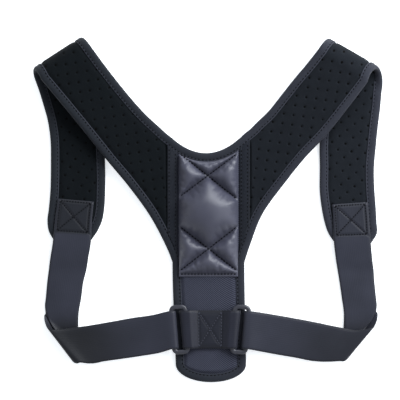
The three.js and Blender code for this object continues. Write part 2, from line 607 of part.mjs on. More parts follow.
// Centre webbing: a flat loop round the inner bars of both rings, its middle sewn down on the stem
function centreWebbingGeometry() {
  const bar = RING_OFFSET - BAR_OFFSET, lean = Math.tan(THREE.MathUtils.degToRad(RING_TILT));
  const room = RING_THICK / 2 + CLEARANCE;
  const reach = RING_BAR / 2 + CLEARANCE + lean * WEBBING_WIDTH / 2;
  const profile = (path, grow) => {
    const low = RING_Z - room - grow, high = RING_Z + room + grow;
    const sewn = RING_Z - room + CLEARANCE + grow, half = SEWN_WIDTH / 2;
    path.moveTo(-bar, low).lineTo(bar, low);
    path.absellipse(bar, RING_Z, reach + grow, room + grow, -Math.PI / 2, Math.PI / 2);
    path.lineTo(bar - reach, high).lineTo(half, sewn).lineTo(-half, sewn).lineTo(reach - bar, high);
    path.absellipse(-bar, RING_Z, reach + grow, room + grow, Math.PI / 2, Math.PI * 1.5);
    return path;
  };
  const shape = profile(new THREE.Shape(), WEBBING_THICK);
  shape.holes.push(profile(new THREE.Path(), 0));
  const geometry = new THREE.ExtrudeGeometry(shape, {
    depth: WEBBING_WIDTH, bevelEnabled: false, curveSegments: 8,
  });
  geometry.rotateX(Math.PI / 2).translate(0, WEBBING_WIDTH / 2, 0);
  const places = geometry.attributes.position;
  for (let i = 0; i < places.count; i++) places.setX(i, places.getX(i) * (1 + lean * places.getY(i) / bar));
  return geometry.translate(RING_MIDDLE, RING_HEIGHT_UP, 0);
}

// Finishes
const finish = (color, roughness) => new THREE.MeshStandardMaterial({ color, roughness });
const foamCloth = finish(0x1b1e24, 0.95);
const tapeCloth = finish(0x2c2f37, 0.8);
const webbingCloth = finish(0x35373f, 0.6);
const twill = finish(0x33353d, 0.75);
const padCover = finish(0x54545f, 0.45);
const ringGloss = finish(0x1c1d21, 0.3);

const brace = new THREE.Group();
function addPiece(name, geometry, material) {
  const mesh = new THREE.Mesh(geometry, material);
  mesh.name = name;
  brace.add(mesh);
  return mesh;
}

const straps = { left: strapRows('left'), right: strapRows('right') };
const edge = outline(straps);
addPiece('back_panel', panelGeometry(), twill);
addPiece('quilted_pad', padGeometry(), padCover);
addPiece('edge_binding', bindingGeometry(edge), tapeCloth);
addPiece('center_webbing', centreWebbingGeometry(), webbingCloth);
for (const side of Object.keys(SIDES)) {
  addPiece(`shoulder_strap_${side}`, strapFoam(side, straps[side]), foamCloth);
  addPiece(`seam_tape_${side}`, seamTapeGeometry(side, edge), tapeCloth);
  addPiece(`side_webbing_${side}`, ribbonGeometry(sideWebbingRows(side), WEBBING_THICK), webbingCloth);
  const ring = addPiece(`ring_${side}`, ringGeometry(), ringGloss);
  ring.position.set(RING_MIDDLE + SIDES[side] * RING_OFFSET, RING_HEIGHT_UP, RING_Z);
  ring.rotation.z = -SIDES[side] * THREE.MathUtils.degToRad(RING_TILT);
}

// The part's origin is under the middle of its bounding box
const bounds = new THREE.Box3().setFromObject(brace, true);
const middle = bounds.getCenter(new THREE.Vector3());
brace.position.set(-middle.x, -middle.y, -bounds.min.z);

export default brace;
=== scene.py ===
import math
from collections import namedtuple

import bpy
import numpy as np
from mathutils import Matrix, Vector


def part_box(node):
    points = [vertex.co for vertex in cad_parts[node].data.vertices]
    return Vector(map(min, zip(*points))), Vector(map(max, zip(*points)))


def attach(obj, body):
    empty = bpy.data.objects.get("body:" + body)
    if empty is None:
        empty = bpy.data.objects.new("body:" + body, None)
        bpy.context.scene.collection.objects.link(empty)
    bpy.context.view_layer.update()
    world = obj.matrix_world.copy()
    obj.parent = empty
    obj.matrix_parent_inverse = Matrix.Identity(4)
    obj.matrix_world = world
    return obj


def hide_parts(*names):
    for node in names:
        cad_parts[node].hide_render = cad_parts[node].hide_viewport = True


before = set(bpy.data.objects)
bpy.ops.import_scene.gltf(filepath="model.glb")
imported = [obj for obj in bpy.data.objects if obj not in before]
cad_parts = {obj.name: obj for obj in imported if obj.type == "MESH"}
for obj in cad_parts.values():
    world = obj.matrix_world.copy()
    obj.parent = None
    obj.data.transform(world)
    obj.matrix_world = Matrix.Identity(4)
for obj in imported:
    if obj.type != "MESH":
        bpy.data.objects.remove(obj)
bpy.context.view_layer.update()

# Camera and studio
# The brace lies on a white table and is seen from straight above through a long lens. The light is
# broad and soft, strongest from the upper right. The table glows, which keeps the shadows faint.
VIEW_SIZE = 0.400
VIEW_MIDDLE = (-0.008, 0.0098)
CAMERA_HEIGHT = 3.0
SENSOR = 36
TABLE_SIZE = 6.0
TABLE_DROP = 0.0004
SKY = 0.50
DAYLIGHT = (0.93, 0.965, 1.0)
FINISH_SHARE = 0.78
SCREEN_CURVE = 2.2
TABLE_TONES = ((0.94, 0.94, 0.94, 1), (0.97, 0.97, 0.97, 1))
TABLE_GLOW = 0.6

scene = bpy.context.scene
scene.view_settings.view_transform = "Standard"
lens = bpy.data.cameras.new("camera")
lens.sensor_width = SENSOR
lens.lens = SENSOR * CAMERA_HEIGHT / VIEW_SIZE
lens.clip_end = 100
camera = bpy.data.objects.new("camera", lens)
camera.location = (*VIEW_MIDDLE, CAMERA_HEIGHT)
scene.collection.objects.link(camera)
scene.camera = camera


class Wire:
    """A value on its way through a finish. Arithmetic on it adds Math nodes."""

    def __init__(self, finish, socket):
        self.finish = finish
        self.socket = socket

    def math(self, operation, *terms):
        return self.finish.node("ShaderNodeMath", {"operation": operation}, dict(enumerate(terms)))

    def __add__(self, other):
        return self.math("ADD", self, other)

    def __radd__(self, other):
        return self.math("ADD", other, self)

    def __sub__(self, other):
        return self.math("SUBTRACT", self, other)

    def __rsub__(self, other):
        return self.math("SUBTRACT", other, self)

    def __mul__(self, other):
        return self.math("MULTIPLY", self, other)

    def __rmul__(self, other):
        return self.math("MULTIPLY", other, self)

    def __truediv__(self, other):
        return self.math("DIVIDE", self, other)

    def __rtruediv__(self, other):
        return self.math("DIVIDE", other, self)


class Finish:
    """A material in the making, whose nodes all come from one method."""

    def __init__(self, name):
        self.material = bpy.data.materials.new(name)
        self.material.use_nodes = True
        self.tree = self.material.node_tree
        self.tree.nodes.clear()

    def node(self, kind, settings, sockets, output=0):
        made = self.tree.nodes.new(kind)
        for name, value in settings.items():
            setattr(made, name, value)
        for name, value in sockets.items():
            if isinstance(value, Wire):
                self.tree.links.new(value.socket, made.inputs[name])
            else:
                made.inputs[name].default_value = value
        return Wire(self, made.outputs[output]) if made.outputs else None

    def laid(self, layer):
        """Millimetres across and along the cloth, from one of the mesh's UV layers."""
        place = self.node("ShaderNodeUVMap", {"uv_map": layer}, {})
        return [self.node("ShaderNodeSeparateXYZ", {}, {0: place}, output) for output in (0, 1)]

    def placed(self):
        """Metres across and along the whole brace."""
        place = self.node("ShaderNodeTexCoord", {}, {}, "Object")
        return [self.node("ShaderNodeSeparateXYZ", {}, {0: place}, output) for output in (0, 1)]

    def noise(self, per_metre, detail=2.0):
        place = self.node("ShaderNodeTexCoord", {}, {}, "Object")
        return self.node("ShaderNodeTexNoise", {}, {"Vector": place, "Scale": per_metre, "Detail": detail})

    def size(self, value):
        return self.node("ShaderNodeMath", {"operation": "ABSOLUTE"}, {0: value})

    def most(self, value, other):
        return self.node("ShaderNodeMath", {"operation": "MAXIMUM"}, {0: value, 1: other})

    def least(self, value, other):
        return self.node("ShaderNodeMath", {"operation": "MINIMUM"}, {0: value, 1: other})

    def rib(self, value, pitch):
        """Rises and falls between 0 and 1 once a pitch."""
        wave = self.node("ShaderNodeMath", {"operation": "COSINE"}, {0: value * (2 * math.pi / pitch)})
        return wave * 0.5 + 0.5

    def ease(self, value, low, high):
        return self.node("ShaderNodeMapRange", {"interpolation_type": "SMOOTHSTEP"},
                         {"Value": value, "From Min": low, "From Max": high})

    def blend(self, share, color, other):
        """One colour passing into another. 6 and 7 are the Mix node's colour sockets."""
        return self.node("ShaderNodeMix", {"data_type": "RGBA"}, {0: share, 6: color, 7: other}, 2)

    def surface(self, color, roughness, height, depth, fixed):
        """The finished cloth or plastic; height times depth is its relief, in metres."""
        bump = self.node("ShaderNodeBump", {}, {"Height": height, "Distance": depth})
        sockets = {"Base Color": color, "Roughness": roughness, "Normal": bump}
        shader = self.node("ShaderNodeBsdfPrincipled", {}, {**sockets, **fixed})
        self.node("ShaderNodeOutputMaterial", {}, {"Surface": shader})
        return self.material


def paint(red, green, blue):
    """A colour given as it looks on a screen, 0 to 255, under this studio's light."""
    return (*[(value / 255) ** SCREEN_CURVE * FINISH_SHARE for value in (red, green, blue)], 1.0)


def table_top():
    finish = Finish("table_top")
    speck = finish.noise(40)
    color = finish.blend(speck, *TABLE_TONES)
    return finish.surface(color, speck * 0.1 + 0.6, speck, 0.0002,
                          {"Emission Color": (*DAYLIGHT, 1), "Emission Strength": TABLE_GLOW})


table_mesh = bpy.data.meshes.new("table")
half_table = TABLE_SIZE / 2
table_mesh.from_pydata([(-half_table, -half_table, -TABLE_DROP), (half_table, -half_table, -TABLE_DROP),
                        (half_table, half_table, -TABLE_DROP), (-half_table, half_table, -TABLE_DROP)],
                       [], [(0, 1, 2, 3)])
table_mesh.materials.append(table_top())
table = bpy.data.objects.new("table", table_mesh)
scene.collection.objects.link(table)

scene.world = bpy.data.worlds.new("studio")
scene.world.use_nodes = True
scene.world.node_tree.nodes["Background"].inputs["Color"].default_value = (*DAYLIGHT, 1)
scene.world.node_tree.nodes["Background"].inputs["Strength"].default_value = SKY

Lamp = namedtuple("Lamp", "name at size power")
LAMPS = [
    Lamp("key_light", (0.85, 0.95, 0.85), 1.0, 36),
    Lamp("right_light", (1.2, -0.1, 0.9), 0.8, 6),
    Lamp("left_light", (-1.2, 0.3, 0.9), 0.8, 1.5),
    Lamp("foot_light", (-0.2, -1.2, 0.9), 0.8, 1),
]
for lamp in LAMPS:
    light = bpy.data.lights.new(lamp.name, "AREA")
    light.size = lamp.size
    light.energy = lamp.power
    light.color = DAYLIGHT
    holder = bpy.data.objects.new(lamp.name, light)
    holder.location = lamp.at
    holder.rotation_mode = "QUATERNION"
    holder.rotation_quaternion = holder.location.to_track_quat("Z", "Y")
    scene.collection.objects.link(holder)

# Shoulder straps
# Each strap is a sheet of perforated foam with a knitted face. It leaves the back panel, folds over at
# the shoulder and comes back down underneath. Bound edges and the sewn ends pinch it thin.
HALF_SPAN = 174
LENGTH = 344
STRAP_WIDTH = 56
FOLD = {"left": 19, "right": 22}
FOAM_THICK = 5.2
PINCH_THICK = 2.4
RAMP = 3.2
RAMP_START = -0.8
BINDING_WIDTH = 8.5
BINDING_WALL = 0.9
CLEARANCE = 0.3
PANEL_THICK = 6
PANEL_RISE = 4.5
STEM_HALF = 36
SEAM_FOOT = 120
NECK_HEIGHT = 229
NECK_DEPTH = 17
NECK_TILT = 2.4
PAD_FOOT = 105.6
EDGE_INSET = BINDING_WALL + CLEARANCE
BINDING_LIP = BINDING_WIDTH + CLEARANCE
HOLE_PITCH = 9.7
HOLE_RADIUS = 1.02
HOLE_TURN = {"left": 8.7, "right": -8.7}
LEAST_SLOPE = 0.4
SIDES = {"left": -1, "right": 1}
MILLIMETRE = 0.001

# A row across a strap or webbing: x, y: its middle, in half spans and lengths of the brace; wide: its
# width, in widths of the strap or webbing; turn: its direction, in degrees; neck, arm: the height of its
# two ends, in heights of the fold
BackRow = namedtuple("BackRow", "x y wide turn neck arm")
Row = namedtuple("Row", "x y wide turn")
STRAP_BACK = {
    "left": [
        BackRow(0.239, 0.5535, 2.09, 89, 0.23, 0.03), BackRow(0.313, 0.613, 1.645, 94, 0.27, 0.12),
        BackRow(0.411, 0.674, 1.32, 103, 0.36, 0.27), BackRow(0.511, 0.733, 1.21, 109, 0.50, 0.46),
        BackRow(0.603, 0.791, 1.10, 119, 0.66, 0.63), BackRow(0.704, 0.855, 1.04, 132, 0.85, 0.83),
        BackRow(0.812, 0.924, 1.06, 147, 1, 1),
    ],
    "right": [
        BackRow(0.239, 0.5665, 2.07, 90, 0.21, 0.03), BackRow(0.296, 0.6225, 1.65, 93, 0.25, 0.11),
        BackRow(0.391, 0.683, 1.29, 104, 0.34, 0.26), BackRow(0.486, 0.743, 1.20, 110, 0.49, 0.45),
        BackRow(0.580, 0.797, 1.15, 120, 0.65, 0.62), BackRow(0.681, 0.860, 1.07, 133, 0.84, 0.83),
        BackRow(0.767, 0.917, 1.05, 146, 1, 1),
    ],
}
STRAP_BEND = {"left": Row(0.858, 0.951, 1.04, 147), "right": Row(0.826, 0.950, 1.06, 150)}
STRAP_FRONT = {
    "left": [
        Row(0.839, 0.917, 1.10, 148), Row(0.823, 0.881, 1.02, 157), Row(0.796, 0.824, 0.97, 166),
        Row(0.769, 0.767, 0.96, 174), Row(0.753, 0.706, 0.96, 178), Row(0.749, 0.631, 0.97, 180),
        Row(0.750, 0.558, 0.98, 180), Row(0.757, 0.506, 0.99, 180), Row(0.767, 0.471, 0.98, 180),
        Row(0.777, 0.439, 0.87, 180), Row(0.784, 0.408, 0.63, 182),
    ],
    "right": [
        Row(0.825, 0.901, 1.27, 146), Row(0.829, 0.856, 1.10, 156), Row(0.822, 0.805, 1.03, 170),
        Row(0.810, 0.750, 1.02, 176), Row(0.800, 0.690, 1.01, 179), Row(0.795, 0.622, 0.97, 180),
        Row(0.796, 0.558, 0.98, 180), Row(0.805, 0.509, 0.97, 180), Row(0.816, 0.465, 0.93, 180),
        Row(0.828, 0.433, 0.87, 180), Row(0.830, 0.404, 0.65, 180),
    ],
}
pad_low, pad_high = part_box("quilted_pad")
FOOT = np.array([(pad_low.x + pad_high.x) / 2, pad_low.y - PAD_FOOT * MILLIMETRE, 0])


def ease(low, high, value):
    share = np.clip((np.asarray(value, float) - low) / (high - low), 0, 1)
    return share * share * (3 - 2 * share)


def unit(vectors):
    return vectors / np.maximum(np.linalg.norm(vectors, axis=-1, keepdims=True), 1e-9)


def panel_lift(y):
    return PANEL_RISE * np.clip((y - SEAM_FOOT) / (NECK_HEIGHT + NECK_DEPTH - SEAM_FOOT), 0, 1)


def neck_edge(x):
    return NECK_HEIGHT + NECK_DEPTH * (x / STEM_HALF) ** 2 + NECK_TILT * x / STEM_HALF


def row_ends(side, row, width, inner_z, outer_z):
    """The row's end towards the neck or armhole and its outer end."""
    half = row.wide * width / 2
    turn = math.radians(row.turn)
    x, y = row.x * HALF_SPAN, row.y * LENGTH
    dx, dy = half * math.cos(turn), half * math.sin(turn)
    sign = SIDES[side]
    return np.array([(sign * (x + dx), y + dy, inner_z), (sign * (x - dx), y - dy, outer_z)])


def curve(points, steps):
    """Points of a smooth curve through the given ones; a step is the way from one to the next."""
    points = np.asarray(points, float)
    padded = np.vstack([[2 * points[0] - points[1]], points, [2 * points[-1] - points[-2]]])
    found = []
    for step in steps:
        start = min(int(step), len(points) - 2)
        t = step - start
        a, b, c, d = padded[start:start + 4]
        ab, bc, cd = [max(np.linalg.norm(q - p) ** 0.5, 1e-3) for p, q in ((a, b), (b, c), (c, d))]
        leave = ((b - a) / ab - (c - a) / (ab + bc) + (c - b) / bc) * bc
        reach = ((c - b) / bc - (d - b) / (bc + cd) + (d - c) / cd) * bc
        bend = -3 * b + 3 * c - 2 * leave - reach
        twist = 2 * b - 2 * c + leave + reach
        found.append(b + leave * t + bend * t ** 2 + twist * t ** 3)
    return np.array(found)


def smooth_rows(rows, steps):
    rows = np.asarray(rows)
    return np.stack([curve(rows[:, edge], steps) for edge in (0, 1)], axis=1)


def half_turn(start, bend, end, steps):
    """Rows of a half turn from one layer to the other, reaching out as far as the row at its bend."""
    rows = []
    middle = (start + end) / 2
    reach = bend - middle
    reach[:, 2] = 0
    for step in range(1, steps):
        angle = math.pi * step / steps
        rows.append(start + (end - start) * (1 - math.cos(angle)) / 2 + reach * math.sin(angle))
    return np.array(rows)


def row_normals(rows, up):
    middles = rows.mean(axis=1)
    along = np.gradient(middles, axis=0)
    return unit(np.cross(rows[:, 0] - rows[:, 1], along)) * up


def lengths_along(points):
    return np.concatenate([[0], np.cumsum(np.linalg.norm(np.diff(points, axis=0), axis=1))])


def strap_rows(side, back_steps=112, turn_steps=22, front_steps=150):
    """Rows of a strap, their normals and how far each is swollen with foam."""
    sign, fold = SIDES[side], FOLD[side]
    seam = [(sign * STEM_HALF, y, PANEL_THICK / 2 + panel_lift(y))
            for y in (neck_edge(sign * STEM_HALF), SEAM_FOOT)]
    base = PANEL_THICK / 2
    back = [np.array(seam)] + [row_ends(side, row, STRAP_WIDTH, base + row.neck * fold, base + row.arm * fold)
                               for row in STRAP_BACK[side]]
    front = [row_ends(side, row, STRAP_WIDTH, FOAM_THICK / 2, FOAM_THICK / 2) for row in STRAP_FRONT[side]]
    bend = row_ends(side, STRAP_BEND[side], STRAP_WIDTH, 0, 0)
    back_places = np.linspace(0, len(back) - 1, back_steps)
    front_places = np.linspace(0, len(front) - 1, front_steps)
    rows = np.concatenate([smooth_rows(back, back_places), half_turn(back[-1], bend, front[0], turn_steps),
                           smooth_rows(front, front_places)])
    full = np.concatenate([ease(1, 1.25, back_places), np.ones(turn_steps - 1),
                           1 - ease(len(front) - 2.2, len(front) - 1.9, front_places)])
    return rows, row_normals(rows, -sign), full


def flat_sheet(side, rows):
    """Where each row's ends lie on the flat sheet that the strap was cut from."""
    bend = row_ends(side, STRAP_BEND[side], STRAP_WIDTH, 0, 0)
    fold_line = unit(bend[0, :2] - bend[1, :2])
    outward = np.array([-fold_line[1], fold_line[0]])
    if outward[1] < 0:
        outward = -outward
    middles = rows.mean(axis=1)
    outermost = int(np.argmax(middles[:, :2] @ outward))
    flat = rows[:, :, :2].copy()
    for i in range(outermost, len(rows)):
        step = rows[i] - rows[i - 1]
        rise = np.abs(step[:, 2])
        forward = np.abs(step[:, :2] @ outward)
        sideways = step[:, :2] @ fold_line
        flat[i] = flat[i - 1] + np.outer(np.hypot(forward, rise), outward) + np.outer(sideways, fold_line)
    return flat


def loft(name, loops, across, along, ring=False, sheet=None):
    """A closed skin through loops of points, in millimetres from the foot of the stem. The cloth's
    own measure goes into the UV layer "cloth", and the flat sheet's into "sheet"."""
    loops = np.asarray(loops, float)
    rows, count = loops.shape[:2]
    across = np.broadcast_to(across, (rows, count))
    bands = rows if ring else rows - 1
    row, column = [grid.ravel() for grid in np.mgrid[0:bands, 0:count]]
    corners = [(row, column), (row, (column + 1) % count), (row + 1, (column + 1) % count), (row + 1, column)]
    faces = np.stack([(r % rows) * count + c for r, c in corners], axis=1)
    at = loops[faces // count, faces % count]
    fan = np.cross(at[:, 1], at[:, 2]) + np.cross(at[:, 2], at[:, 3])
    volume = np.sum(at[:, 0] * fan)
    uv_rows = np.stack([r for r, _ in corners], axis=1)
    uv_columns = np.stack([c for _, c in corners], axis=1)
    if volume < 0:
        faces, uv_rows, uv_columns = faces[:, ::-1], uv_rows[:, ::-1], uv_columns[:, ::-1]
    faces, uv_rows, uv_columns = faces.tolist(), uv_rows.ravel(), uv_columns.ravel()
    if not ring:
        for place in (0, rows - 1):
            for k in range(count // 2 - 1):
                end = [k, k + 1, count - 2 - k, count - 1 - k]
                if (place == 0) == (volume > 0):
                    end = end[::-1]
                faces.append([place * count + corner for corner in end])
                uv_rows = np.concatenate([uv_rows, np.full(4, place)])
                uv_columns = np.concatenate([uv_columns, end])
    mesh = bpy.data.meshes.new(name)
    mesh.from_pydata((loops.reshape(-1, 3) * MILLIMETRE + FOOT).tolist(), [], faces)
    cloth = np.stack([across[uv_rows % rows, uv_columns], np.asarray(along)[uv_rows]], axis=1)
    mesh.uv_layers.new(name="cloth").data.foreach_set("uv", cloth.ravel())
    if sheet is not None:
        laid = sheet[uv_rows % rows, uv_columns]
        mesh.uv_layers.new(name="sheet").data.foreach_set("uv", laid.ravel())
    mesh.shade_smooth()
    return mesh


def piece(name, mesh, material, slot, *nodes):
    made = bpy.data.objects.new(name, mesh)
    scene.collection.objects.link(made)
    mesh.materials.append(material)
    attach(made, "root")
    if nodes:
        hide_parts(*nodes)
    return made


def edge_slope(rows, edge):
    """The sine of the angle between each row and one of the strap's edges."""
    tangent = unit(np.gradient(rows[:, edge], axis=0))
    across = unit(rows[:, 0] - rows[:, 1])
    return np.maximum(LEAST_SLOPE, np.sqrt(1 - np.sum(tangent * across, axis=1) ** 2))


def strap_mesh(side, rows, normals, full, columns=30):
    span = np.linalg.norm(rows[:, 0] - rows[:, 1], axis=1)
    slopes = [edge_slope(rows, edge) for edge in (0, 1)]
    share = (1 - np.cos(np.linspace(0, math.pi, columns))) / 2
    low = EDGE_INSET / slopes[1]
    high = span - EDGE_INSET / slopes[0]
    place = low[:, None] + (high - low)[:, None] * share
    near = np.minimum(place * slopes[1][:, None], (span[:, None] - place) * slopes[0][:, None])
    swell = ease(BINDING_LIP + RAMP_START, BINDING_LIP + RAMP, near) * full[:, None]
    half = PINCH_THICK / 2 + (FOAM_THICK - PINCH_THICK) / 2 * swell
    at = rows[:, 1][:, None] + (rows[:, 0] - rows[:, 1])[:, None] * (place / span[:, None])[..., None]
    shift = np.zeros_like(at)
    shift[0, :, 0] = SIDES[side] * CLEARANCE
    end = unit(rows[-2].mean(axis=0) - rows[-1].mean(axis=0))
    shift[-1] = end * EDGE_INSET
    top = at + shift + normals[:, None] * half[..., None]
    under = at + shift - normals[:, None] * half[..., None]
    loops = np.concatenate([top, under[:, ::-1]], axis=1)
    flat = flat_sheet(side, rows)
    laid = flat[:, 1][:, None] + (flat[:, 0] - flat[:, 1])[:, None] * (place / span[:, None])[..., None]
    sheet = np.concatenate([laid, laid[:, ::-1]], axis=1)
    across = np.concatenate([place, place[:, ::-1]], axis=1)
    return loft(f"foam_{side}", loops, across, lengths_along(rows.mean(axis=1)), sheet=sheet)


# Two tones of the knitted face and the tone of its nap. The right strap is painted lighter, because
# it looks so in the photograph's light.
FOAM_TONES = {
    "left": (paint(19, 22, 25), paint(25, 29, 32)),
    "right": (paint(27, 30, 34), paint(36, 39, 44)),
}
FOAM_NAP = {"left": paint(28, 32, 37), "right": paint(50, 53, 60)}
# The holes are not cut in the mesh: they are painted near black, as painted shade inside them.
PAINTED_HOLE_SHADE = paint(1, 1, 2)


def foam_face(side):
    """Near-black knitted face, punched with rows of small holes, some drawn wider than others."""
    finish = Finish(f"foam_{side}")
    x, y = finish.laid("sheet")
    turn = math.radians(HOLE_TURN[side])
    cells = []
    for cosine, sine in ((math.cos(turn), math.sin(turn)), (-math.sin(turn), math.cos(turn))):
        run = (x * cosine + y * sine) / HOLE_PITCH
        cells.append(finish.node("ShaderNodeMath", {"operation": "FRACT"}, {0: run}) - 0.5)
    squared = cells[0] * cells[0] + cells[1] * cells[1]
    from_hole = finish.node("ShaderNodeMath", {"operation": "SQRT"}, {0: squared}) * HOLE_PITCH
    drawn_wide = finish.noise(60) * 1.1 + 0.45
    away = from_hole / drawn_wide
    hole = 1 - finish.ease(away, HOLE_RADIUS * 0.75, HOLE_RADIUS * 1.15)
    dish = finish.ease(away, HOLE_RADIUS, HOLE_RADIUS * 2.6)
    knit = finish.rib(x + y * 0.45, 0.9) * finish.rib(y - x * 0.45, 0.9)
    mottle = finish.noise(90, 3)
    cloth = finish.blend(mottle, *FOAM_TONES[side])
    cloth = finish.blend(knit * 0.35, cloth, FOAM_NAP[side])
    # Painted shade where the holes are.
    color = finish.blend(hole, cloth, PAINTED_HOLE_SHADE)
    height = dish * 0.55 + knit * 0.12 + mottle * 0.3
    return finish.surface(color, mottle * 0.12 + 0.78, height, 0.0007,
                          {"Sheen Weight": 0.04, "Specular IOR Level": 0.05})


STRAPS = {side: strap_rows(side) for side in SIDES}
for side in SIDES:
    foam = piece(f"foam_{side}", strap_mesh(side, *STRAPS[side]), foam_face(side), "foam",
                 f"shoulder_strap_{side}")

# Back panel
# A padded panel of diagonal twill runs down into the stem. It carries the pad, and its lower end is
# rounded. It is thin under the binding and at the strap seams and full between them.
FOOT_TAPER = 0.8
FOOT_ROUND = 18
STEM_LEAN = 2.6
SEAM_BLEND = 20
TAPE_WIDTH = 10
PANEL_CROWN = 0.7
TWILL_PITCH = 2.1
FOOT_HALF = STEM_HALF - FOOT_TAPER


def neck_inset(x, depth):
    return neck_edge(x) - depth * np.hypot(1, 2 * NECK_DEPTH * x / STEM_HALF ** 2 + NECK_TILT / STEM_HALF)


def stem_half(y):
    return FOOT_HALF + (STEM_HALF - FOOT_HALF) * ease(0, SEAM_FOOT, y)


def stem_middle(y):
    return STEM_LEAN * (1 - ease(0, SEAM_FOOT, y))


def foot_inset(x, depth):
    share = np.minimum(1, np.abs(x) / (FOOT_HALF - depth))
    return depth + (FOOT_ROUND - depth) * (1 - np.sqrt(1 - share * share))


def panel_mesh(rows=170, columns=64):
    reach = np.sin(np.linspace(-math.pi / 2, math.pi / 2, columns))
    loops, across, along = [], [], []
    for share in (1 - np.cos(np.linspace(0, math.pi, rows))) / 2:
        side = stem_half(SEAM_FOOT * share) - EDGE_INSET
        x = reach * side
        for _ in range(3):
            low, high = foot_inset(x, EDGE_INSET), neck_inset(x, EDGE_INSET + CLEARANCE)
            y = low + (high - low) * share
            abut = ease(SEAM_FOOT, SEAM_FOOT + SEAM_BLEND * 0.3, y)
            edge = (stem_half(y) - EDGE_INSET) * (1 - abut) + (STEM_HALF - CLEARANCE) * abut
            x = reach * edge
        seamed = ease(SEAM_FOOT, SEAM_FOOT + SEAM_BLEND, y)
        lip = (stem_half(y) - BINDING_LIP) * (1 - seamed) + (STEM_HALF - TAPE_WIDTH / 2) * seamed
        above_foot, below_neck = y - foot_inset(x, BINDING_LIP), neck_inset(x, BINDING_LIP) - y
        inside = np.minimum(lip - np.abs(x), np.minimum(above_foot, below_neck))
        swell = ease(RAMP_START, RAMP, inside)
        half = PINCH_THICK / 2 + (PANEL_THICK - PINCH_THICK) / 2 * swell
        middle = PANEL_THICK / 2 + panel_lift(y)
        crown = PANEL_CROWN * swell * (1 - np.clip(np.abs(x) / lip, 0, 1) ** 2)
        at = stem_middle(y) + x
        top = np.stack([at, y, middle + half + crown], axis=1)
        under = np.stack([at, y, middle - half], axis=1)
        loops.append(np.concatenate([top, under[::-1]]))
        across.append(np.concatenate([x, x[::-1]]))
        along.append(share * NECK_HEIGHT)
    return loft("panel", np.array(loops), np.array(across), along)


def twill():
    """Grey twill with a diagonal rib, lighter and a little smoother on the rib's ridges."""
    finish = Finish("twill")
    x, y = finish.laid("cloth")
    wander = finish.noise(60, 2) * 0.5
    rib = finish.rib(x + y + wander, TWILL_PITCH)
    yarn = finish.rib(x - y * 0.35, 0.7)
    mottle = finish.noise(35, 3)
    color = finish.blend(rib, paint(34, 36, 46), paint(74, 77, 94))
    color = finish.blend(mottle * 0.35, color, paint(54, 56, 69))
    height = rib * 0.6 + yarn * 0.15 + mottle * 0.4
    return finish.surface(color, 0.72 - rib * 0.12, height, 0.0005,
                          {"Sheen Weight": 0.06, "Specular IOR Level": 0.16})


panel = piece("panel", panel_mesh(), twill(), "twill", "back_panel")

# Edge binding
# One ribbed tape is folded over the raw edge all round the panel and both straps. A single line of
# lockstitch near its inner lip holds both faces of the tape.
STITCH_DEPTH = 6.9
BINDING_FACE = [
    (8.5, 1.5), (8.55, 1.95), (8.1, 2.2), (7.4, 2.12), (6.9, 2.0), (6.3, 2.15), (5.2, 2.4), (3.8, 2.5),
    (2.4, 2.4), (1.3, 2.0), (0.5, 1.35), (0.1, 0.65),
]
BINDING_LINING = [(8.3, 1.42), (1.7, 1.42), (1.1, 0.75)]
STITCH_ABOVE = 2.0
STITCH_BELOW = 1.7
STEM_SIDE = (SEAM_FOOT - 3, 22)
NECK_END = STEM_HALF - 2


def leaning(points, normals):
    """Directions that lead from the edge inwards, square to it."""
    return unit(np.cross(normals, unit(np.gradient(points, axis=0))))


def outline(straps):
    """Points round the sewn body, their normals and the leans that lead inwards from them."""
    def flat(x, y):
        x, y = np.broadcast_arrays(x, y)
        points = np.column_stack([stem_middle(y) + x, y, PANEL_THICK / 2 + panel_lift(y)])
        normals = np.tile([0.0, 0.0, 1.0], (len(points), 1))
        return points, normals, leaning(points, normals)

    def strap_edge(side, edge, way):
        rows, normals, _ = straps[side]
        middles = rows.mean(axis=1)
        inwards = unit(middles[-2] - middles[-1])
        mitre = np.clip(1 - lengths_along(middles[::-1])[::-1] / BINDING_WIDTH, 0, 1)
        points, normals = rows[::way, edge], normals[::way]
        return points, normals, leaning(points, normals) + mitre[::way, None] * inwards

    down = np.linspace(*STEM_SIDE, 40)
    up = down[::-1]
    turn = np.linspace(0, math.pi, 60)
    neck = np.linspace(NECK_END, -NECK_END, 40)
    runs = [
        strap_edge("left", 0, 1), strap_edge("left", 1, -1),
        flat(-stem_half(down), down),
        flat(-FOOT_HALF * np.cos(turn), FOOT_ROUND * (1 - np.sin(turn))),
        flat(stem_half(up), up),
        strap_edge("right", 1, 1), strap_edge("right", 0, -1),
        flat(neck, neck_edge(neck)),
    ]
    return [np.concatenate([run[part] for run in runs]) for part in range(3)]


def ribbed_tape():
    """Charcoal edge tape with fine cross ribs and a painted highlight along its lip. It is painted lighter
    towards the right as well: painted light."""
    finish = Finish("edge_tape")
    depth, along = finish.laid("cloth")
    rib = finish.rib(along, 0.9)
    yarn = finish.rib(depth, 1.1)
    groove = 1 - finish.ease(finish.size(depth - STITCH_DEPTH), 0.2, 1.0)
    mottle = finish.noise(50, 3)
    rightwards = finish.ease(finish.placed()[0], -0.1, 0.12)
    # A painted highlight along the tape's lip.
    lip = finish.ease(depth, 7.5, 8.1)
    tone = finish.blend(rightwards, paint(32, 37, 43), paint(52, 54, 64))
    color = finish.blend(rib * 0.25, tone, paint(62, 65, 76))
    color = finish.blend(mottle * 0.4, color, paint(30, 32, 39))
    color = finish.blend(groove * 0.25, color, paint(66, 69, 80))
    color = finish.blend(lip * 0.4, color, paint(74, 77, 88))
    height = rib * 0.35 + yarn * 0.2 + mottle * 0.4 - groove * 0.2
    return finish.surface(color, mottle * 0.15 + 0.62, height, 0.0005,
                          {"Sheen Weight": 0.06, "Specular IOR Level": 0.16})


edge_at, edge_normals, edge_leans = outline(STRAPS)


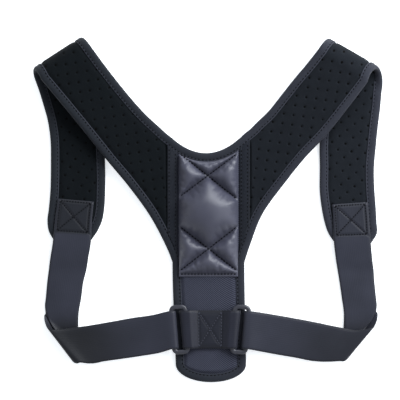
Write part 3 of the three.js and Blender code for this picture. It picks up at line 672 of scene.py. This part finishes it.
def binding_mesh():
    section = BINDING_FACE + [(0.0, 0.0)] + [(depth, -height) for depth, height in BINDING_FACE[::-1]]
    section += [(depth, -height) for depth, height in BINDING_LINING]
    section += [(BINDING_WALL, 0)] + BINDING_LINING[::-1]
    depth, height = np.array(section).T
    loops = (edge_at[:, None] + edge_leans[:, None] * depth[None, :, None]
             + edge_normals[:, None] * height[None, :, None])
    closed = np.vstack([edge_at, edge_at[:1]])
    return loft("binding", loops, np.abs(depth), lengths_along(closed), ring=True)


piece("binding", binding_mesh(), ribbed_tape(), "edge_tape", "edge_binding")


def on_line(places, run, grid):
    """Points or directions at places along a line, given at each of its own points."""
    return np.stack([np.interp(places, run, grid[:, k]) for k in range(3)], axis=1)


def thread_mesh(name, lines, pitch=3.7, length=2.0, radius=0.5):
    """Stitches along lines, each given as its points and normals: small bowed bars whose ends sink in."""
    spans = np.array([-0.5, -0.4, 0, 0.4, 0.5]) * length
    girth = np.array([0.35, 0.85, 1, 0.85, 0.35]) * radius
    bow = np.array([-0.9, 0.15, 0.5, 0.15, -0.9]) * radius
    sides = 6
    angles = np.linspace(0, 2 * math.pi, sides, endpoint=False)
    vertices, faces = [], []
    for points, normals in lines:
        run = lengths_along(points)
        count = max(1, int(run[-1] / pitch))
        places = (np.arange(count) + 0.5) * run[-1] / count
        spots = on_line(places, run, points)
        ups = unit(on_line(places, run, normals))
        aheads = on_line(np.minimum(places + 0.5, run[-1]), run, points)
        alongs = unit(aheads - on_line(np.maximum(places - 0.5, 0), run, points))
        for spot, up, along in zip(spots, ups, alongs):
            side = np.cross(up, along)
            start = len(vertices)
            for span, thick, rise in zip(spans, girth, bow):
                middle = spot + along * span + up * rise
                for angle in angles:
                    vertices.append(middle + (side * math.cos(angle) + up * math.sin(angle)) * thick)
            for ring in range(len(spans) - 1):
                for k in range(sides):
                    a, b = start + ring * sides + k, start + ring * sides + (k + 1) % sides
                    faces.append((a, b, b + sides, a + sides))
            faces.append([start + k for k in range(sides)][::-1])
            faces.append([start + (len(spans) - 1) * sides + k for k in range(sides)])
    mesh = bpy.data.meshes.new(name)
    mesh.from_pydata((np.array(vertices) * MILLIMETRE + FOOT).tolist(), [], faces)
    mesh.shade_smooth()
    return mesh


def sewing_thread(name, color, other):
    finish = Finish(name)
    strand = finish.noise(900, 2)
    tone = finish.blend(strand, color, other)
    return finish.surface(tone, strand * 0.2 + 0.6, strand, 0.0001, {"Specular IOR Level": 0.1})


DARK_THREAD = sewing_thread("dark_thread", paint(8, 9, 11), paint(18, 19, 23))
GREY_THREAD = sewing_thread("grey_thread", paint(18, 19, 23), paint(34, 35, 41))
stitch_line = edge_at + edge_leans * STITCH_DEPTH
closing = np.append(np.arange(len(edge_at)), 0)
on_top = (stitch_line + edge_normals * STITCH_ABOVE)[closing]
beneath = (stitch_line - edge_normals * STITCH_BELOW)[closing]
edge_stitches = thread_mesh("binding_stitches", [(on_top, edge_normals[closing]),
                                                 (beneath, -edge_normals[closing])])
piece("binding_stitches", edge_stitches, DARK_THREAD, "edge_tape")

# Seam tapes
# A flat tape with two rows of stitches covers each seam between panel and strap. It tucks under the
# neck binding above and the arm binding below.
TAPE_THICK = 1.6
TAPE_STITCH = 3.1
TAPE_PROFILE = [
    (-1, 0), (-1, 0.55), (-0.94, 0.9), (-0.8, 1), (-0.62, 0.86), (-0.45, 1), (0, 1.05), (0.45, 1),
    (0.62, 0.86), (0.8, 1), (0.94, 0.9), (1, 0.55), (1, 0),
]


def tape_base(y):
    """The face of the pinched seam that the tape lies on."""
    return PANEL_THICK / 2 + panel_lift(y) + PINCH_THICK / 2 + CLEARANCE * 0.6


def tape_foot(side, x):
    """Height at which the binding's lip along the arm edge crosses the given distance from the middle."""
    lips = edge_at + edge_leans * (BINDING_WIDTH - 1)
    out = lips[:, 0] * SIDES[side]
    near = (out > 0) & (out < STEM_HALF + STRAP_WIDTH / 2) & (lips[:, 1] > SEAM_FOOT * 0.6)
    near &= lips[:, 1] < SEAM_FOOT * 1.7
    order = np.argsort(out[near])
    return float(np.interp(x, out[near][order], lips[near][order, 1]))


def tape_mesh(side, rows=40):
    loops, along = [], []
    for share in np.linspace(0, 1, rows):
        points = []
        for column, height in TAPE_PROFILE:
            x = STEM_HALF + column * TAPE_WIDTH / 2
            foot, head = tape_foot(side, x), neck_inset(SIDES[side] * x, BINDING_WIDTH - 1)
            y = foot + (head - foot) * share
            points.append((SIDES[side] * x, y, tape_base(y) + height * TAPE_THICK))
        loops.append(points)
        along.append(points[0][1])
    across = [column * TAPE_WIDTH / 2 for column, _ in TAPE_PROFILE]
    return loft(f"seam_tape_cloth_{side}", loops, across, along)


def seam_tape():
    """Flat ribbed tape, with a lighter nap where the two rows of stitches draw it in."""
    finish = Finish("seam_tape")
    across, along = finish.laid("cloth")
    rib = finish.rib(along, 0.8)
    groove = 1 - finish.ease(finish.size(finish.size(across) - TAPE_STITCH), 0.2, 0.9)
    mottle = finish.noise(60, 3)
    color = finish.blend(rib * 0.3, paint(26, 30, 38), paint(56, 60, 72))
    color = finish.blend(groove * 0.25, color, paint(66, 69, 80))
    return finish.surface(color, mottle * 0.15 + 0.6, rib * 0.3 + mottle * 0.4 - groove * 0.2, 0.0005,
                          {"Sheen Weight": 0.06, "Specular IOR Level": 0.16})


def facing_up(x, y, z):
    """Points of a line of stitches whose normals all point upwards."""
    points = np.column_stack(np.broadcast_arrays(x, y, z))
    return points, np.tile([0.0, 0.0, 1.0], (len(points), 1))


tape_cloth = seam_tape()
for side in SIDES:
    piece(f"seam_tape_cloth_{side}", tape_mesh(side), tape_cloth, "edge_tape", f"seam_tape_{side}")
    lines = []
    for column in (-TAPE_STITCH, TAPE_STITCH):
        x = STEM_HALF + column
        y = np.linspace(tape_foot(side, x) + 2, neck_inset(SIDES[side] * x, BINDING_WIDTH) - 1, 40)
        z = tape_base(y) + TAPE_THICK * 0.9
        lines.append(facing_up(np.full(40, SIDES[side] * x), y, z))
    name = f"seam_tape_stitches_{side}"
    piece(name, thread_mesh(name, lines), DARK_THREAD, "edge_tape")

# Quilted pad
# Satin over soft filling, sewn to the panel round its border and along two crossings of stitch lines.
# The filling puffs up between the lines. The cover's shape comes from a cloth simulation: a sheet held
# at its stitches is blown up by pressure and gathers into small creases there.
PAD_WIDTH = 59
PAD_SKIN = 1.0
PAD_PUFF = 5.5
PUFF_REACH = 11
PUFF_CURVE = 2.2
CREASE_HEIGHT = 0.33
CREASE_REACH = 4.5
SLACK = 0.028
# Both ends of each stitch line, as shares of the pad's width and length.
QUILT_LINES = [
    ((0, 1.00), (1, 0.62)), ((1, 1.00), (0, 0.64)), ((0, 0.41), (1, 0.04)), ((1, 0.41), (0, 0.04)),
]
PAD_LENGTH = NECK_HEIGHT - PAD_FOOT
STITCH_GRIP = 0.75
STITCH_RISE = 0.35
PAD_PITCH = 3.2
PAD_STITCH = 2.1
HEM = 3.4
HEM_LINE = HEM - 0.9
HEM_REACH = PAD_WIDTH / 2 - 1.5
LINE_ENDS = (0.03, 0.97)
SOFTENING = 4
SOFTENING_SHARE = 0.7
FLUFF = 1.6
BLOW_SCALE = 0.02
BLOW_FRAMES = 40
BLOW = {
    "quality": 6, "mass": 0.15, "tension_stiffness": 25, "compression_stiffness": 25, "shear_stiffness": 8,
    "bending_stiffness": 2.5, "air_damping": 3, "shrink_min": -0.07, "vertex_group_mass": "sewn",
    "use_pressure": True, "uniform_pressure_force": 15,
}


def pad_head(x):
    return neck_inset(x, BINDING_LIP - CLEARANCE)


def quilt_lines():
    """The stitch lines' two ends each, in millimetres from the foot of the stem."""
    ends = np.array(QUILT_LINES)
    return np.stack([(ends[..., 0] - 0.5) * PAD_WIDTH, PAD_FOOT + ends[..., 1] * PAD_LENGTH], axis=-1)


def from_line(x, y, ends):
    """Distance from a stitch line, and how far along it the nearest point is."""
    start, end = ends
    step = end - start
    length = np.linalg.norm(step)
    run = np.clip(((x - start[0]) * step[0] + (y - start[1]) * step[1]) / length ** 2, 0, 1)
    return np.hypot(x - start[0] - run * step[0], y - start[1] - run * step[1]), run * length


def pad_height(x, y):
    """Height of the cover over its base, with creases running out from the stitch lines."""
    sides = [(PAD_WIDTH / 2 - np.abs(x), y), (y - PAD_FOOT - HEM, x), (pad_head(x) - y, x)]
    runs = [from_line(x, y, ends) for ends in quilt_lines()] + sides
    puff = np.ones_like(x)
    crease = np.zeros_like(x)
    for index, (away, run) in enumerate(runs):
        fall = 1 - np.clip(away / PUFF_REACH, 0, 1)
        puff = np.minimum(puff, np.sqrt(np.maximum(0, 1 - fall ** PUFF_CURVE)))
        wave = np.sin(run * 2.05 + index * 1.7) * 0.6 + np.sin(run * 0.93 + index * 2.9) * 0.8
        crease += wave * np.exp(-away / CREASE_REACH) * ease(0, 1.2, away)
    slack = SLACK * np.sin(x * 0.21 + y * 0.13) * np.sin(y * 0.17 - x * 0.09)
    return PAD_SKIN + PAD_PUFF * puff * (1 + slack) + CREASE_HEIGHT * crease * ease(0, 0.35, puff)


def cover_sheet(rows=150, columns=80):
    """The cover as sewn: a grid of points, the third value being the height above the pad's
    base."""
    share_x, share_y = np.meshgrid(np.linspace(0, 1, columns), np.linspace(0, 1, rows))
    x = (share_x - 0.5) * PAD_WIDTH
    y = PAD_FOOT + (pad_head(x) - PAD_FOOT) * share_y
    height = pad_height(x, y)
    away = np.min([from_line(x, y, ends)[0] for ends in quilt_lines()], axis=0)
    sewn = (away < STITCH_GRIP) | (y < PAD_FOOT + HEM)
    sewn[[0, -1]] = True
    sewn[:, [0, -1]] = True
    start = np.where(sewn, 0, (height - PAD_SKIN) * 0.5)
    index = np.arange(rows * columns).reshape(rows, columns)
    quads = np.stack([index[:-1, :-1], index[:-1, 1:], index[1:, 1:], index[1:, :-1]], axis=2).reshape(-1, 4)
    mesh = bpy.data.meshes.new("cover_sheet")
    points = np.stack([x, y - PAD_FOOT, start], axis=2) * BLOW_SCALE
    mesh.from_pydata(points.reshape(-1, 3).tolist(), [], quads.tolist())
    sheet = bpy.data.objects.new("cover_sheet", mesh)
    scene.collection.objects.link(sheet)
    sheet.vertex_groups.new(name="sewn").add(index[sewn].tolist(), 1, "REPLACE")
    cloth = sheet.modifiers.new("cloth", "CLOTH")
    cloth.point_cache.frame_end = BLOW_FRAMES
    for name, value in BLOW.items():
        setattr(cloth.settings, name, value)
    cloth.settings.effector_weights.gravity = 0
    for number in range(1, BLOW_FRAMES + 1):
        scene.frame_set(number)
    blown = sheet.evaluated_get(bpy.context.evaluated_depsgraph_get())
    found = np.empty(points.size)
    blown.data.vertices.foreach_get("co", found)
    scene.frame_set(1)
    bpy.data.objects.remove(sheet)
    found = found.reshape(points.shape) / BLOW_SCALE * (1, 1, FLUFF)
    free = ~sewn[1:-1, 1:-1]
    for _ in range(SOFTENING):
        around = (found[:-2, 1:-1] + found[2:, 1:-1] + found[1:-1, :-2] + found[1:-1, 2:]) / 4
        found[1:-1, 1:-1][free] += (around - found[1:-1, 1:-1])[free] * SOFTENING_SHARE
    return found + (0, PAD_FOOT, PAD_SKIN)


def pad_mesh(cover):
    x, y, height = np.moveaxis(cover, 2, 0)
    base = PANEL_THICK + panel_lift(y) + CLEARANCE
    top = np.stack([x, y, base + height], axis=2)
    under = np.stack([x, y, base], axis=2)
    loops = np.concatenate([top, under[:, ::-1]], axis=1)
    across = np.concatenate([x, x[:, ::-1]], axis=1)
    return loft("pad", loops, across, y[:, 0])


def satin():
    """Smooth grey-violet satin with a soft gloss."""
    finish = Finish("pad_satin")
    x, y = finish.laid("cloth")
    sheen = finish.rib(x + y * 0.15, 0.55)
    mottle = finish.noise(45, 3)
    color = finish.blend(mottle, paint(60, 61, 75), paint(72, 73, 89))
    # The fine rib is painted sheen: it lightens the satin in narrow bands.
    color = finish.blend(sheen * 0.2, color, paint(88, 89, 104))
    return finish.surface(color, mottle * 0.1 + 0.33, sheen * 0.15 + mottle * 0.5, 0.0003,
                          {"Sheen Weight": 0.08, "Specular IOR Level": 0.5})


pad = piece("pad", pad_mesh(cover_sheet()), satin(), "pad_cover", "quilted_pad")
STITCHED_Z = PANEL_THICK + CLEARANCE + PAD_SKIN + STITCH_RISE
pad_lines = []
for start, end in quilt_lines():
    x, y = np.linspace(start + (end - start) * LINE_ENDS[0], start + (end - start) * LINE_ENDS[1], 60).T
    pad_lines.append(facing_up(x, y, STITCHED_Z + panel_lift(y)))
hem_x = np.linspace(-HEM_REACH, HEM_REACH, 50)
pad_lines.append(facing_up(hem_x, PAD_FOOT + HEM_LINE, STITCHED_Z))
pad_threads = thread_mesh("pad_stitches", pad_lines, pitch=PAD_PITCH, length=PAD_STITCH)
piece("pad_stitches", pad_threads, DARK_THREAD, "pad_cover")

# Rings
# Glossy black rounded rectangles of moulded bar, one at each side of the stem. The webbing of both
# sides runs through them.
WEBBING_WIDTH = 38
WEBBING_THICK = 1.4
RING_WIDTH = 18.5
RING_BAR = 4.6
RING_THICK = 3.6
RING_ROUND = 6.4
RING_OFFSET = 30.3
RING_HEIGHT_UP = 53
RING_TILT = 4.5
RING_PLAY = 1.2
RING_Z = PANEL_THICK + CLEARANCE + WEBBING_THICK + CLEARANCE + RING_THICK / 2
RING_MIDDLE = stem_middle(RING_HEIGHT_UP)
RING_SQUARENESS = 0.8


def ring_mesh(side):
    """A bar of rounded square section bent into a rounded rectangle."""
    height = WEBBING_WIDTH + 2 * (RING_PLAY + RING_BAR)
    half_wide, half_high = (RING_WIDTH - RING_BAR) / 2, (height - RING_BAR) / 2
    bend = RING_ROUND - RING_BAR / 2
    middles, outwards = [], []
    for quarter, (sx, sy) in enumerate(((1, 1), (-1, 1), (-1, -1), (1, -1))):
        for angle in np.linspace(0, math.pi / 2, 10) + quarter * math.pi / 2:
            way = np.array([math.cos(angle), math.sin(angle), 0])
            corner = np.array([sx * (half_wide - bend), sy * (half_high - bend), 0])
            middles.append(corner + way * bend)
            outwards.append(way)
    angles = np.linspace(0, 2 * math.pi, 20, endpoint=False)
    cosine, sine = np.cos(angles), np.sin(angles)
    round_x = np.sign(cosine) * np.abs(cosine) ** RING_SQUARENESS * RING_BAR / 2
    round_z = np.sign(sine) * np.abs(sine) ** RING_SQUARENESS * RING_THICK / 2
    loops = np.array(middles)[:, None] + np.array(outwards)[:, None] * round_x[None, :, None]
    loops[..., 2] += round_z
    tilt = -SIDES[side] * math.radians(RING_TILT)
    turned = loops.copy()
    turned[..., 0] = loops[..., 0] * math.cos(tilt) - loops[..., 1] * math.sin(tilt)
    turned[..., 1] = loops[..., 0] * math.sin(tilt) + loops[..., 1] * math.cos(tilt)
    turned += np.array([RING_MIDDLE + SIDES[side] * RING_OFFSET, RING_HEIGHT_UP, RING_Z])
    closed = np.vstack([middles, middles[:1]])
    return loft(f"bar_ring_{side}", turned, angles, lengths_along(closed), ring=True)


def ring_gloss():
    """Black moulded plastic, softly glossy."""
    finish = Finish("ring_gloss")
    wave = finish.noise(180, 2)
    color = finish.blend(wave, paint(44, 45, 53), paint(60, 61, 71))
    return finish.surface(color, wave * 0.1 + 0.3, wave, 0.00015,
                          {"Specular IOR Level": 0.5, "Coat Weight": 0.15, "Coat Roughness": 0.15})


gloss = ring_gloss()
for side in SIDES:
    piece(f"bar_ring_{side}", ring_mesh(side), gloss, "ring", f"ring_{side}")

# Side webbing
# One woven ribbon a side: sewn with a box and a cross on the strap's front end, down to the corner,
# folded over there, through the ring and back the same way on the outside.
PLY_BED = 0.2
PLY_SPACE = 0.6
CORNER_INNER = 4.6
CORNER_OUTER = 10.4
RUN_SAG = 3
PATCH_ROWS = 3
FREE_END_ROW = 3
CORNER_STEPS = 14
RING_STEPS = 12
UPRIGHT = {
    "left": [
        Row(0.760, 0.529, 0.94, 185), Row(0.774, 0.471, 0.97, 186), Row(0.784, 0.405, 1.00, 182),
        Row(0.799, 0.360, 1.00, 180), Row(0.809, 0.326, 0.99, 180), Row(0.822, 0.291, 0.95, 180),
        Row(0.832, 0.246, 0.93, 182), Row(0.842, 0.209, 0.90, 190),
    ],
    "right": [
        Row(0.811, 0.520, 0.93, 184), Row(0.819, 0.467, 0.95, 182), Row(0.825, 0.408, 0.97, 182),
        Row(0.835, 0.360, 0.96, 180), Row(0.845, 0.326, 0.95, 180), Row(0.853, 0.291, 0.92, 180),
        Row(0.864, 0.246, 0.90, 182), Row(0.872, 0.209, 0.88, 190),
    ],
}
LEVEL = {
    "left": [
        Row(0.753, 0.105, 1.13, 233), Row(0.644, 0.113, 1.06, 240), Row(0.529, 0.122, 1.04, 246),
        Row(0.411, 0.132, 1.03, 254), Row(0.300, 0.141, 1.01, 259),
    ],
    "right": [
        Row(0.770, 0.106, 1.11, 228), Row(0.667, 0.112, 1.10, 235), Row(0.549, 0.124, 1.06, 242),
        Row(0.428, 0.135, 1.03, 251), Row(0.318, 0.145, 1.01, 258),
    ],
}
CORNER = {
    "left": {
        "inner": [Row(0.841, 0.160, 0.97, 217), Row(0.833, 0.122, 0.86, 232), Row(0.805, 0.112, 0.84, 231)],
        "outer": [
            Row(0.845, 0.151, 1.19, 225), Row(0.8594, 0.1226, 1.184, 233), Row(0.822, 0.106, 1.17, 228),
        ],
    },
    "right": {
        "inner": [Row(0.864, 0.158, 0.93, 216), Row(0.858, 0.127, 0.83, 234), Row(0.825, 0.115, 0.87, 235)],
        "outer": [
            Row(0.871, 0.154, 1.25, 226), Row(0.8835, 0.1296, 1.214, 231), Row(0.848, 0.111, 1.21, 227),
        ],
    },
}
# A sewn box: how far along the ribbon its middle is, its half sizes, and how much darker it is painted
Box = namedtuple("Box", "middle half_along half_across shade")
# The side patches are painted darker with painted shade, the left one more than the right.
PATCH = {"left": Box(16.6, 14.8, 15.2, 0.8), "right": Box(16.6, 14.8, 15.2, 0.3)}
CORNER_DUSK = {"left": 0.85, "right": 0.5}
DUSK_ACROSS = (0.05, 0.13)
DUSK_UP = (-0.125, -0.100)
BOX_PITCH = 2.6
BOX_STITCH = 1.9
WEBBING_TONES = (paint(38, 40, 50), paint(54, 56, 69))
SELVEDGE_INNER = WEBBING_WIDTH / 2 - 2.0
SELVEDGE_OUTER = WEBBING_WIDTH / 2 - 1.4
RING_WRAP = RING_THICK / 2 + 2 * CLEARANCE + WEBBING_THICK / 2
BAR_OFFSET = (RING_WIDTH - RING_BAR) / 2
BED_Z = PLY_BED + WEBBING_THICK / 2
SECOND_Z = BED_Z + WEBBING_THICK + PLY_SPACE


def ring_row(side, inwards, z):
    """A row of the webbing beside the ring's outer bar, the given way outwards from its middle line."""
    tilt, half = math.radians(RING_TILT), WEBBING_WIDTH / 2
    reach = BAR_OFFSET - inwards
    x, y = RING_OFFSET + reach * math.cos(tilt), RING_HEIGHT_UP - reach * math.sin(tilt)
    dx, dy = half * math.sin(tilt), half * math.cos(tilt)
    sign = SIDES[side]
    return np.array([(RING_MIDDLE + sign * (x - dx), y - dy, z), (RING_MIDDLE + sign * (x + dx), y + dy, z)])


def webbing_rows(side):
    """Rows of the ribbon from the strap's end to the free end, each given by its two edges."""
    def flat(row, z):
        return row_ends(side, row, WEBBING_WIDTH, z, z)

    def turn(rows, low, high):
        start, bend, end = flat(rows[0], low), flat(rows[1], low), flat(rows[2], high)
        return start, half_turn(start, bend, end, CORNER_STEPS), end

    def level(start, end, sag):
        rows = []
        for i, row in enumerate(LEVEL[side]):
            share = (i + 1) / (len(LEVEL[side]) + 1)
            rows.append(flat(row, start + (end - start) * share - sag * 4 * share * (1 - share)))
        return rows

    patch = FOAM_THICK + CLEARANCE + WEBBING_THICK / 2
    upright = [flat(row, patch + (SECOND_Z - patch) * float(ease(PATCH_ROWS - 1, PATCH_ROWS + 1, i)))
               for i, row in enumerate(UPRIGHT[side])]
    inner_start, inner_turn, inner_end = turn(CORNER[side]["inner"], SECOND_Z, SECOND_Z + CORNER_INNER)
    outer_start, outer_turn, outer_end = turn(CORNER[side]["outer"], BED_Z, BED_Z + CORNER_OUTER)
    low, high = RING_Z - RING_WRAP, RING_Z + RING_WRAP
    ring_in, ring_out = ring_row(side, 0, low), ring_row(side, 0, high)
    beside = -RING_BAR / 2 - CLEARANCE
    ring_bend = ring_row(side, RING_BAR / 2 + 3 * CLEARANCE + WEBBING_THICK / 2, 0)
    under = [flat(row, BED_Z) for row in UPRIGHT[side][FREE_END_ROW:]][::-1]
    return np.array([
        *upright, inner_start, *inner_turn, inner_end, *level(SECOND_Z + CORNER_INNER, low, RUN_SAG),
        ring_row(side, beside, low), ring_in, *half_turn(ring_in, ring_bend, ring_out, RING_STEPS), ring_out,
        ring_row(side, beside, high), *level(BED_Z + CORNER_OUTER, high, RUN_SAG * 1.2)[::-1],
        outer_end, *outer_turn[::-1], outer_start, *under,
    ])


RIBBON_HALF = [(-1, 0), (-0.985, 0.62), (-0.94, 0.96), (-0.82, 1), (-0.55, 1), (-0.25, 1), (0, 1), (0.25, 1),
               (0.55, 1), (0.82, 1), (0.94, 0.96), (0.985, 0.62), (1, 0)]


def ribbon_mesh(name, rows, normals, thick):
    section = RIBBON_HALF + [(share, -height) for share, height in RIBBON_HALF[-2:0:-1]]
    share, height = np.array(section).T
    middle, half = rows.mean(axis=1), (rows[:, 0] - rows[:, 1]) / 2
    loops = (middle[:, None] + half[:, None] * share[None, :, None]
             + normals[:, None] * (height * thick / 2)[None, :, None])
    return loft(name, loops, share * WEBBING_WIDTH / 2, lengths_along(middle))


def webbing_cloth(name, dark, light, box, dusk):
    """Woven webbing with firm selvedges, drawn in where the box and cross are sewn. Dusk is how much
    darker the level runs are painted towards the corners, as they look in the photograph's light."""
    finish = Finish(name)
    across, along = finish.laid("cloth")
    warp = finish.rib(across, 1.9)
    weft = finish.rib(along + warp * 0.35, 0.95)
    selvedge = finish.ease(finish.size(across), SELVEDGE_INNER, SELVEDGE_OUTER)
    run = finish.size((along - box.middle) / box.half_along)
    reach = finish.size(across / box.half_across)
    frame_gap = finish.size(1 - finish.most(run, reach)) * box.half_along
    cross_gap = finish.size(run - reach) * box.half_along * 0.7
    inside = 1 - finish.ease(finish.most(run, reach), 1.05, 1.25)
    drawn = (1 - finish.ease(finish.least(frame_gap, cross_gap), 0.2, 2.6)) * inside
    mottle = finish.noise(30, 3)
    color = finish.blend(mottle, dark, light)
    color = finish.blend(warp * weft * 0.1, color, paint(78, 81, 96))
    color = finish.blend(selvedge * 0.35, color, paint(22, 24, 30))
    x, y = finish.placed()
    shaded = finish.ease(finish.size(x), *DUSK_ACROSS) * (1 - finish.ease(y, *DUSK_UP))
    color = finish.blend(shaded * dusk, color, paint(20, 22, 26))
    # Inside the sewn box the cloth is painted darker: on the side patches this is painted shade.
    color = finish.blend(inside * box.shade, color, paint(21, 25, 32))
    # The sewn lines are painted darker: painted shade in the grooves they draw in.
    color = finish.blend(drawn * 0.14, color, paint(8, 9, 12))
    height = warp * 0.03 + weft * 0.02 + mottle * 0.25 - selvedge * 0.1 - drawn * 0.35
    return finish.surface(color, mottle * 0.14 + 0.42, height, 0.0010,
                          {"Sheen Weight": 0.06, "Specular IOR Level": 0.28})


def on_ribbon(rows, normals, spots, lift):
    """Places on the webbing, from millimetres along it and across it, and their normals."""
    middle = rows.mean(axis=1)
    run = lengths_along(middle)
    along, across = np.array(spots, float).T
    half = unit(rows[:, 0] - rows[:, 1])
    at, way, up = [on_line(along, run, grid) for grid in (middle, half, normals)]
    return at + way * across[:, None] + up * lift, up


def line(start, end, count=30):
    share = np.linspace(0, 1, count)[:, None]
    return np.array(start) + (np.array(end) - np.array(start)) * share


def box_lines(box):
    """Stitch lines of a sewn box, in places along and across the ribbon: the cross with the two sides
    that run across the ribbon, and the two sides that run along it."""
    near, far = box.middle - box.half_along, box.middle + box.half_along
    side = box.half_across
    crossed = [((near, -side), (near, side)), ((far, -side), (far, side)), ((near, -side), (far, side)),
               ((near, side), (far, -side))]
    return crossed, [((near, -side), (far, -side)), ((near, side), (far, side))]


for side in SIDES:
    webbing = webbing_cloth(f"webbing_{side}", *WEBBING_TONES, PATCH[side], CORNER_DUSK[side])
    coarse = webbing_rows(side)
    rows = smooth_rows(coarse, np.linspace(0, len(coarse) - 1, (len(coarse) - 1) * 6 + 1))
    normals = row_normals(rows, SIDES[side])
    piece(f"webbing_{side}", ribbon_mesh(f"webbing_{side}", rows, normals, WEBBING_THICK), webbing, "webbing",
          f"side_webbing_{side}")
    crossed, long_sides = box_lines(PATCH[side])
    lines = [on_ribbon(rows, normals, line(*ends), WEBBING_THICK / 2) for ends in crossed + long_sides]
    name = f"webbing_stitches_{side}"
    piece(name, thread_mesh(name, lines, pitch=BOX_PITCH, length=BOX_STITCH), GREY_THREAD, "webbing")

# Centre webbing
# A flat loop of the same webbing round the inner bars of both rings. Its middle is sewn down on the
# stem with two upright rows and a cross.
SEWN_WIDTH = 24
SEWN_HALF_ALONG = 11.3
SEWN_HALF_ACROSS = 17.3
SEWN_SHADE = 0.35
SEWN_PITCH = 2.9
SEWN_STITCH = 1.8
SEWN_Z = RING_Z - RING_THICK / 2 + WEBBING_THICK
CENTRE_DUSK = 0.5
CENTRE_TONES = (paint(22, 24, 34), paint(36, 38, 52))
INNER_BAR = RING_OFFSET - BAR_OFFSET
RING_LEAN = math.tan(math.radians(RING_TILT))


def centre_path(grow):
    """The loop seen from its edge, as points of x and z, starting on the underside."""
    room = RING_THICK / 2 + CLEARANCE
    reach = RING_BAR / 2 + CLEARANCE + RING_LEAN * WEBBING_WIDTH / 2
    low, high = RING_Z - room - grow, RING_Z + room + grow
    sewn, half = RING_Z - room + CLEARANCE + grow, SEWN_WIDTH / 2

    def round_bar(bar, start, end):
        return [(bar + (reach + grow) * math.cos(angle), RING_Z + (room + grow) * math.sin(angle))
                for angle in np.linspace(start, end, 18)[1:-1]]

    path = [(x, low) for x in np.linspace(-INNER_BAR, INNER_BAR, 20)]
    path += round_bar(INNER_BAR, -math.pi / 2, math.pi / 2)
    for x in np.linspace(INNER_BAR, -INNER_BAR, 70):
        inside = 1 - ease(half - 1, INNER_BAR - reach + 1, abs(x))
        path.append((x, high + (sewn - high) * float(inside)))
    path += round_bar(-INNER_BAR, math.pi / 2, math.pi * 1.5)
    return np.array(path)


def centre_mesh():
    outer, inner = centre_path(WEBBING_THICK), centre_path(0)
    loops = []
    for out, back in zip(outer, inner):
        middle, half = (out + back) / 2, (out - back) / 2
        points = [(middle + half * height, share) for share, height in RIBBON_HALF]
        points += [(middle - half * height, share) for share, height in RIBBON_HALF[-2:0:-1]]
        loop = []
        for (x, z), share in points:
            y = share * WEBBING_WIDTH / 2
            loop.append((RING_MIDDLE + x * (1 + RING_LEAN * y / INNER_BAR), RING_HEIGHT_UP + y, z))
        loops.append(loop)
    shares = [share for share, _ in RIBBON_HALF] + [share for share, _ in RIBBON_HALF[-2:0:-1]]
    closed = np.vstack([outer, outer[:1]])
    return loft("centre_loop", loops, np.array(shares) * WEBBING_WIDTH / 2, lengths_along(closed), ring=True)


outer_path = centre_path(WEBBING_THICK)
above = outer_path[:, 1] > outer_path[0, 1] + CLEARANCE
top_middle = int(np.argmin(np.where(above, np.abs(outer_path[:, 0]), np.inf)))
SEWN = Box(float(lengths_along(outer_path)[top_middle]), SEWN_HALF_ALONG, SEWN_HALF_ACROSS, SEWN_SHADE)
centre_cloth = webbing_cloth("centre_webbing", *CENTRE_TONES, SEWN, CENTRE_DUSK)
piece("centre_loop", centre_mesh(), centre_cloth, "webbing", "center_webbing")

PALE_THREAD = sewing_thread("pale_thread", paint(56, 58, 68), paint(82, 84, 96))
crossed, _ = box_lines(SEWN._replace(middle=0))
centre_lines = []
for ends in crossed:
    x, y = line(*ends).T
    centre_lines.append(facing_up(RING_MIDDLE + x, RING_HEIGHT_UP + y, SEWN_Z))
centre_threads = thread_mesh("centre_stitches", centre_lines, pitch=SEWN_PITCH, length=SEWN_STITCH)
piece("centre_stitches", centre_threads, PALE_THREAD, "webbing")
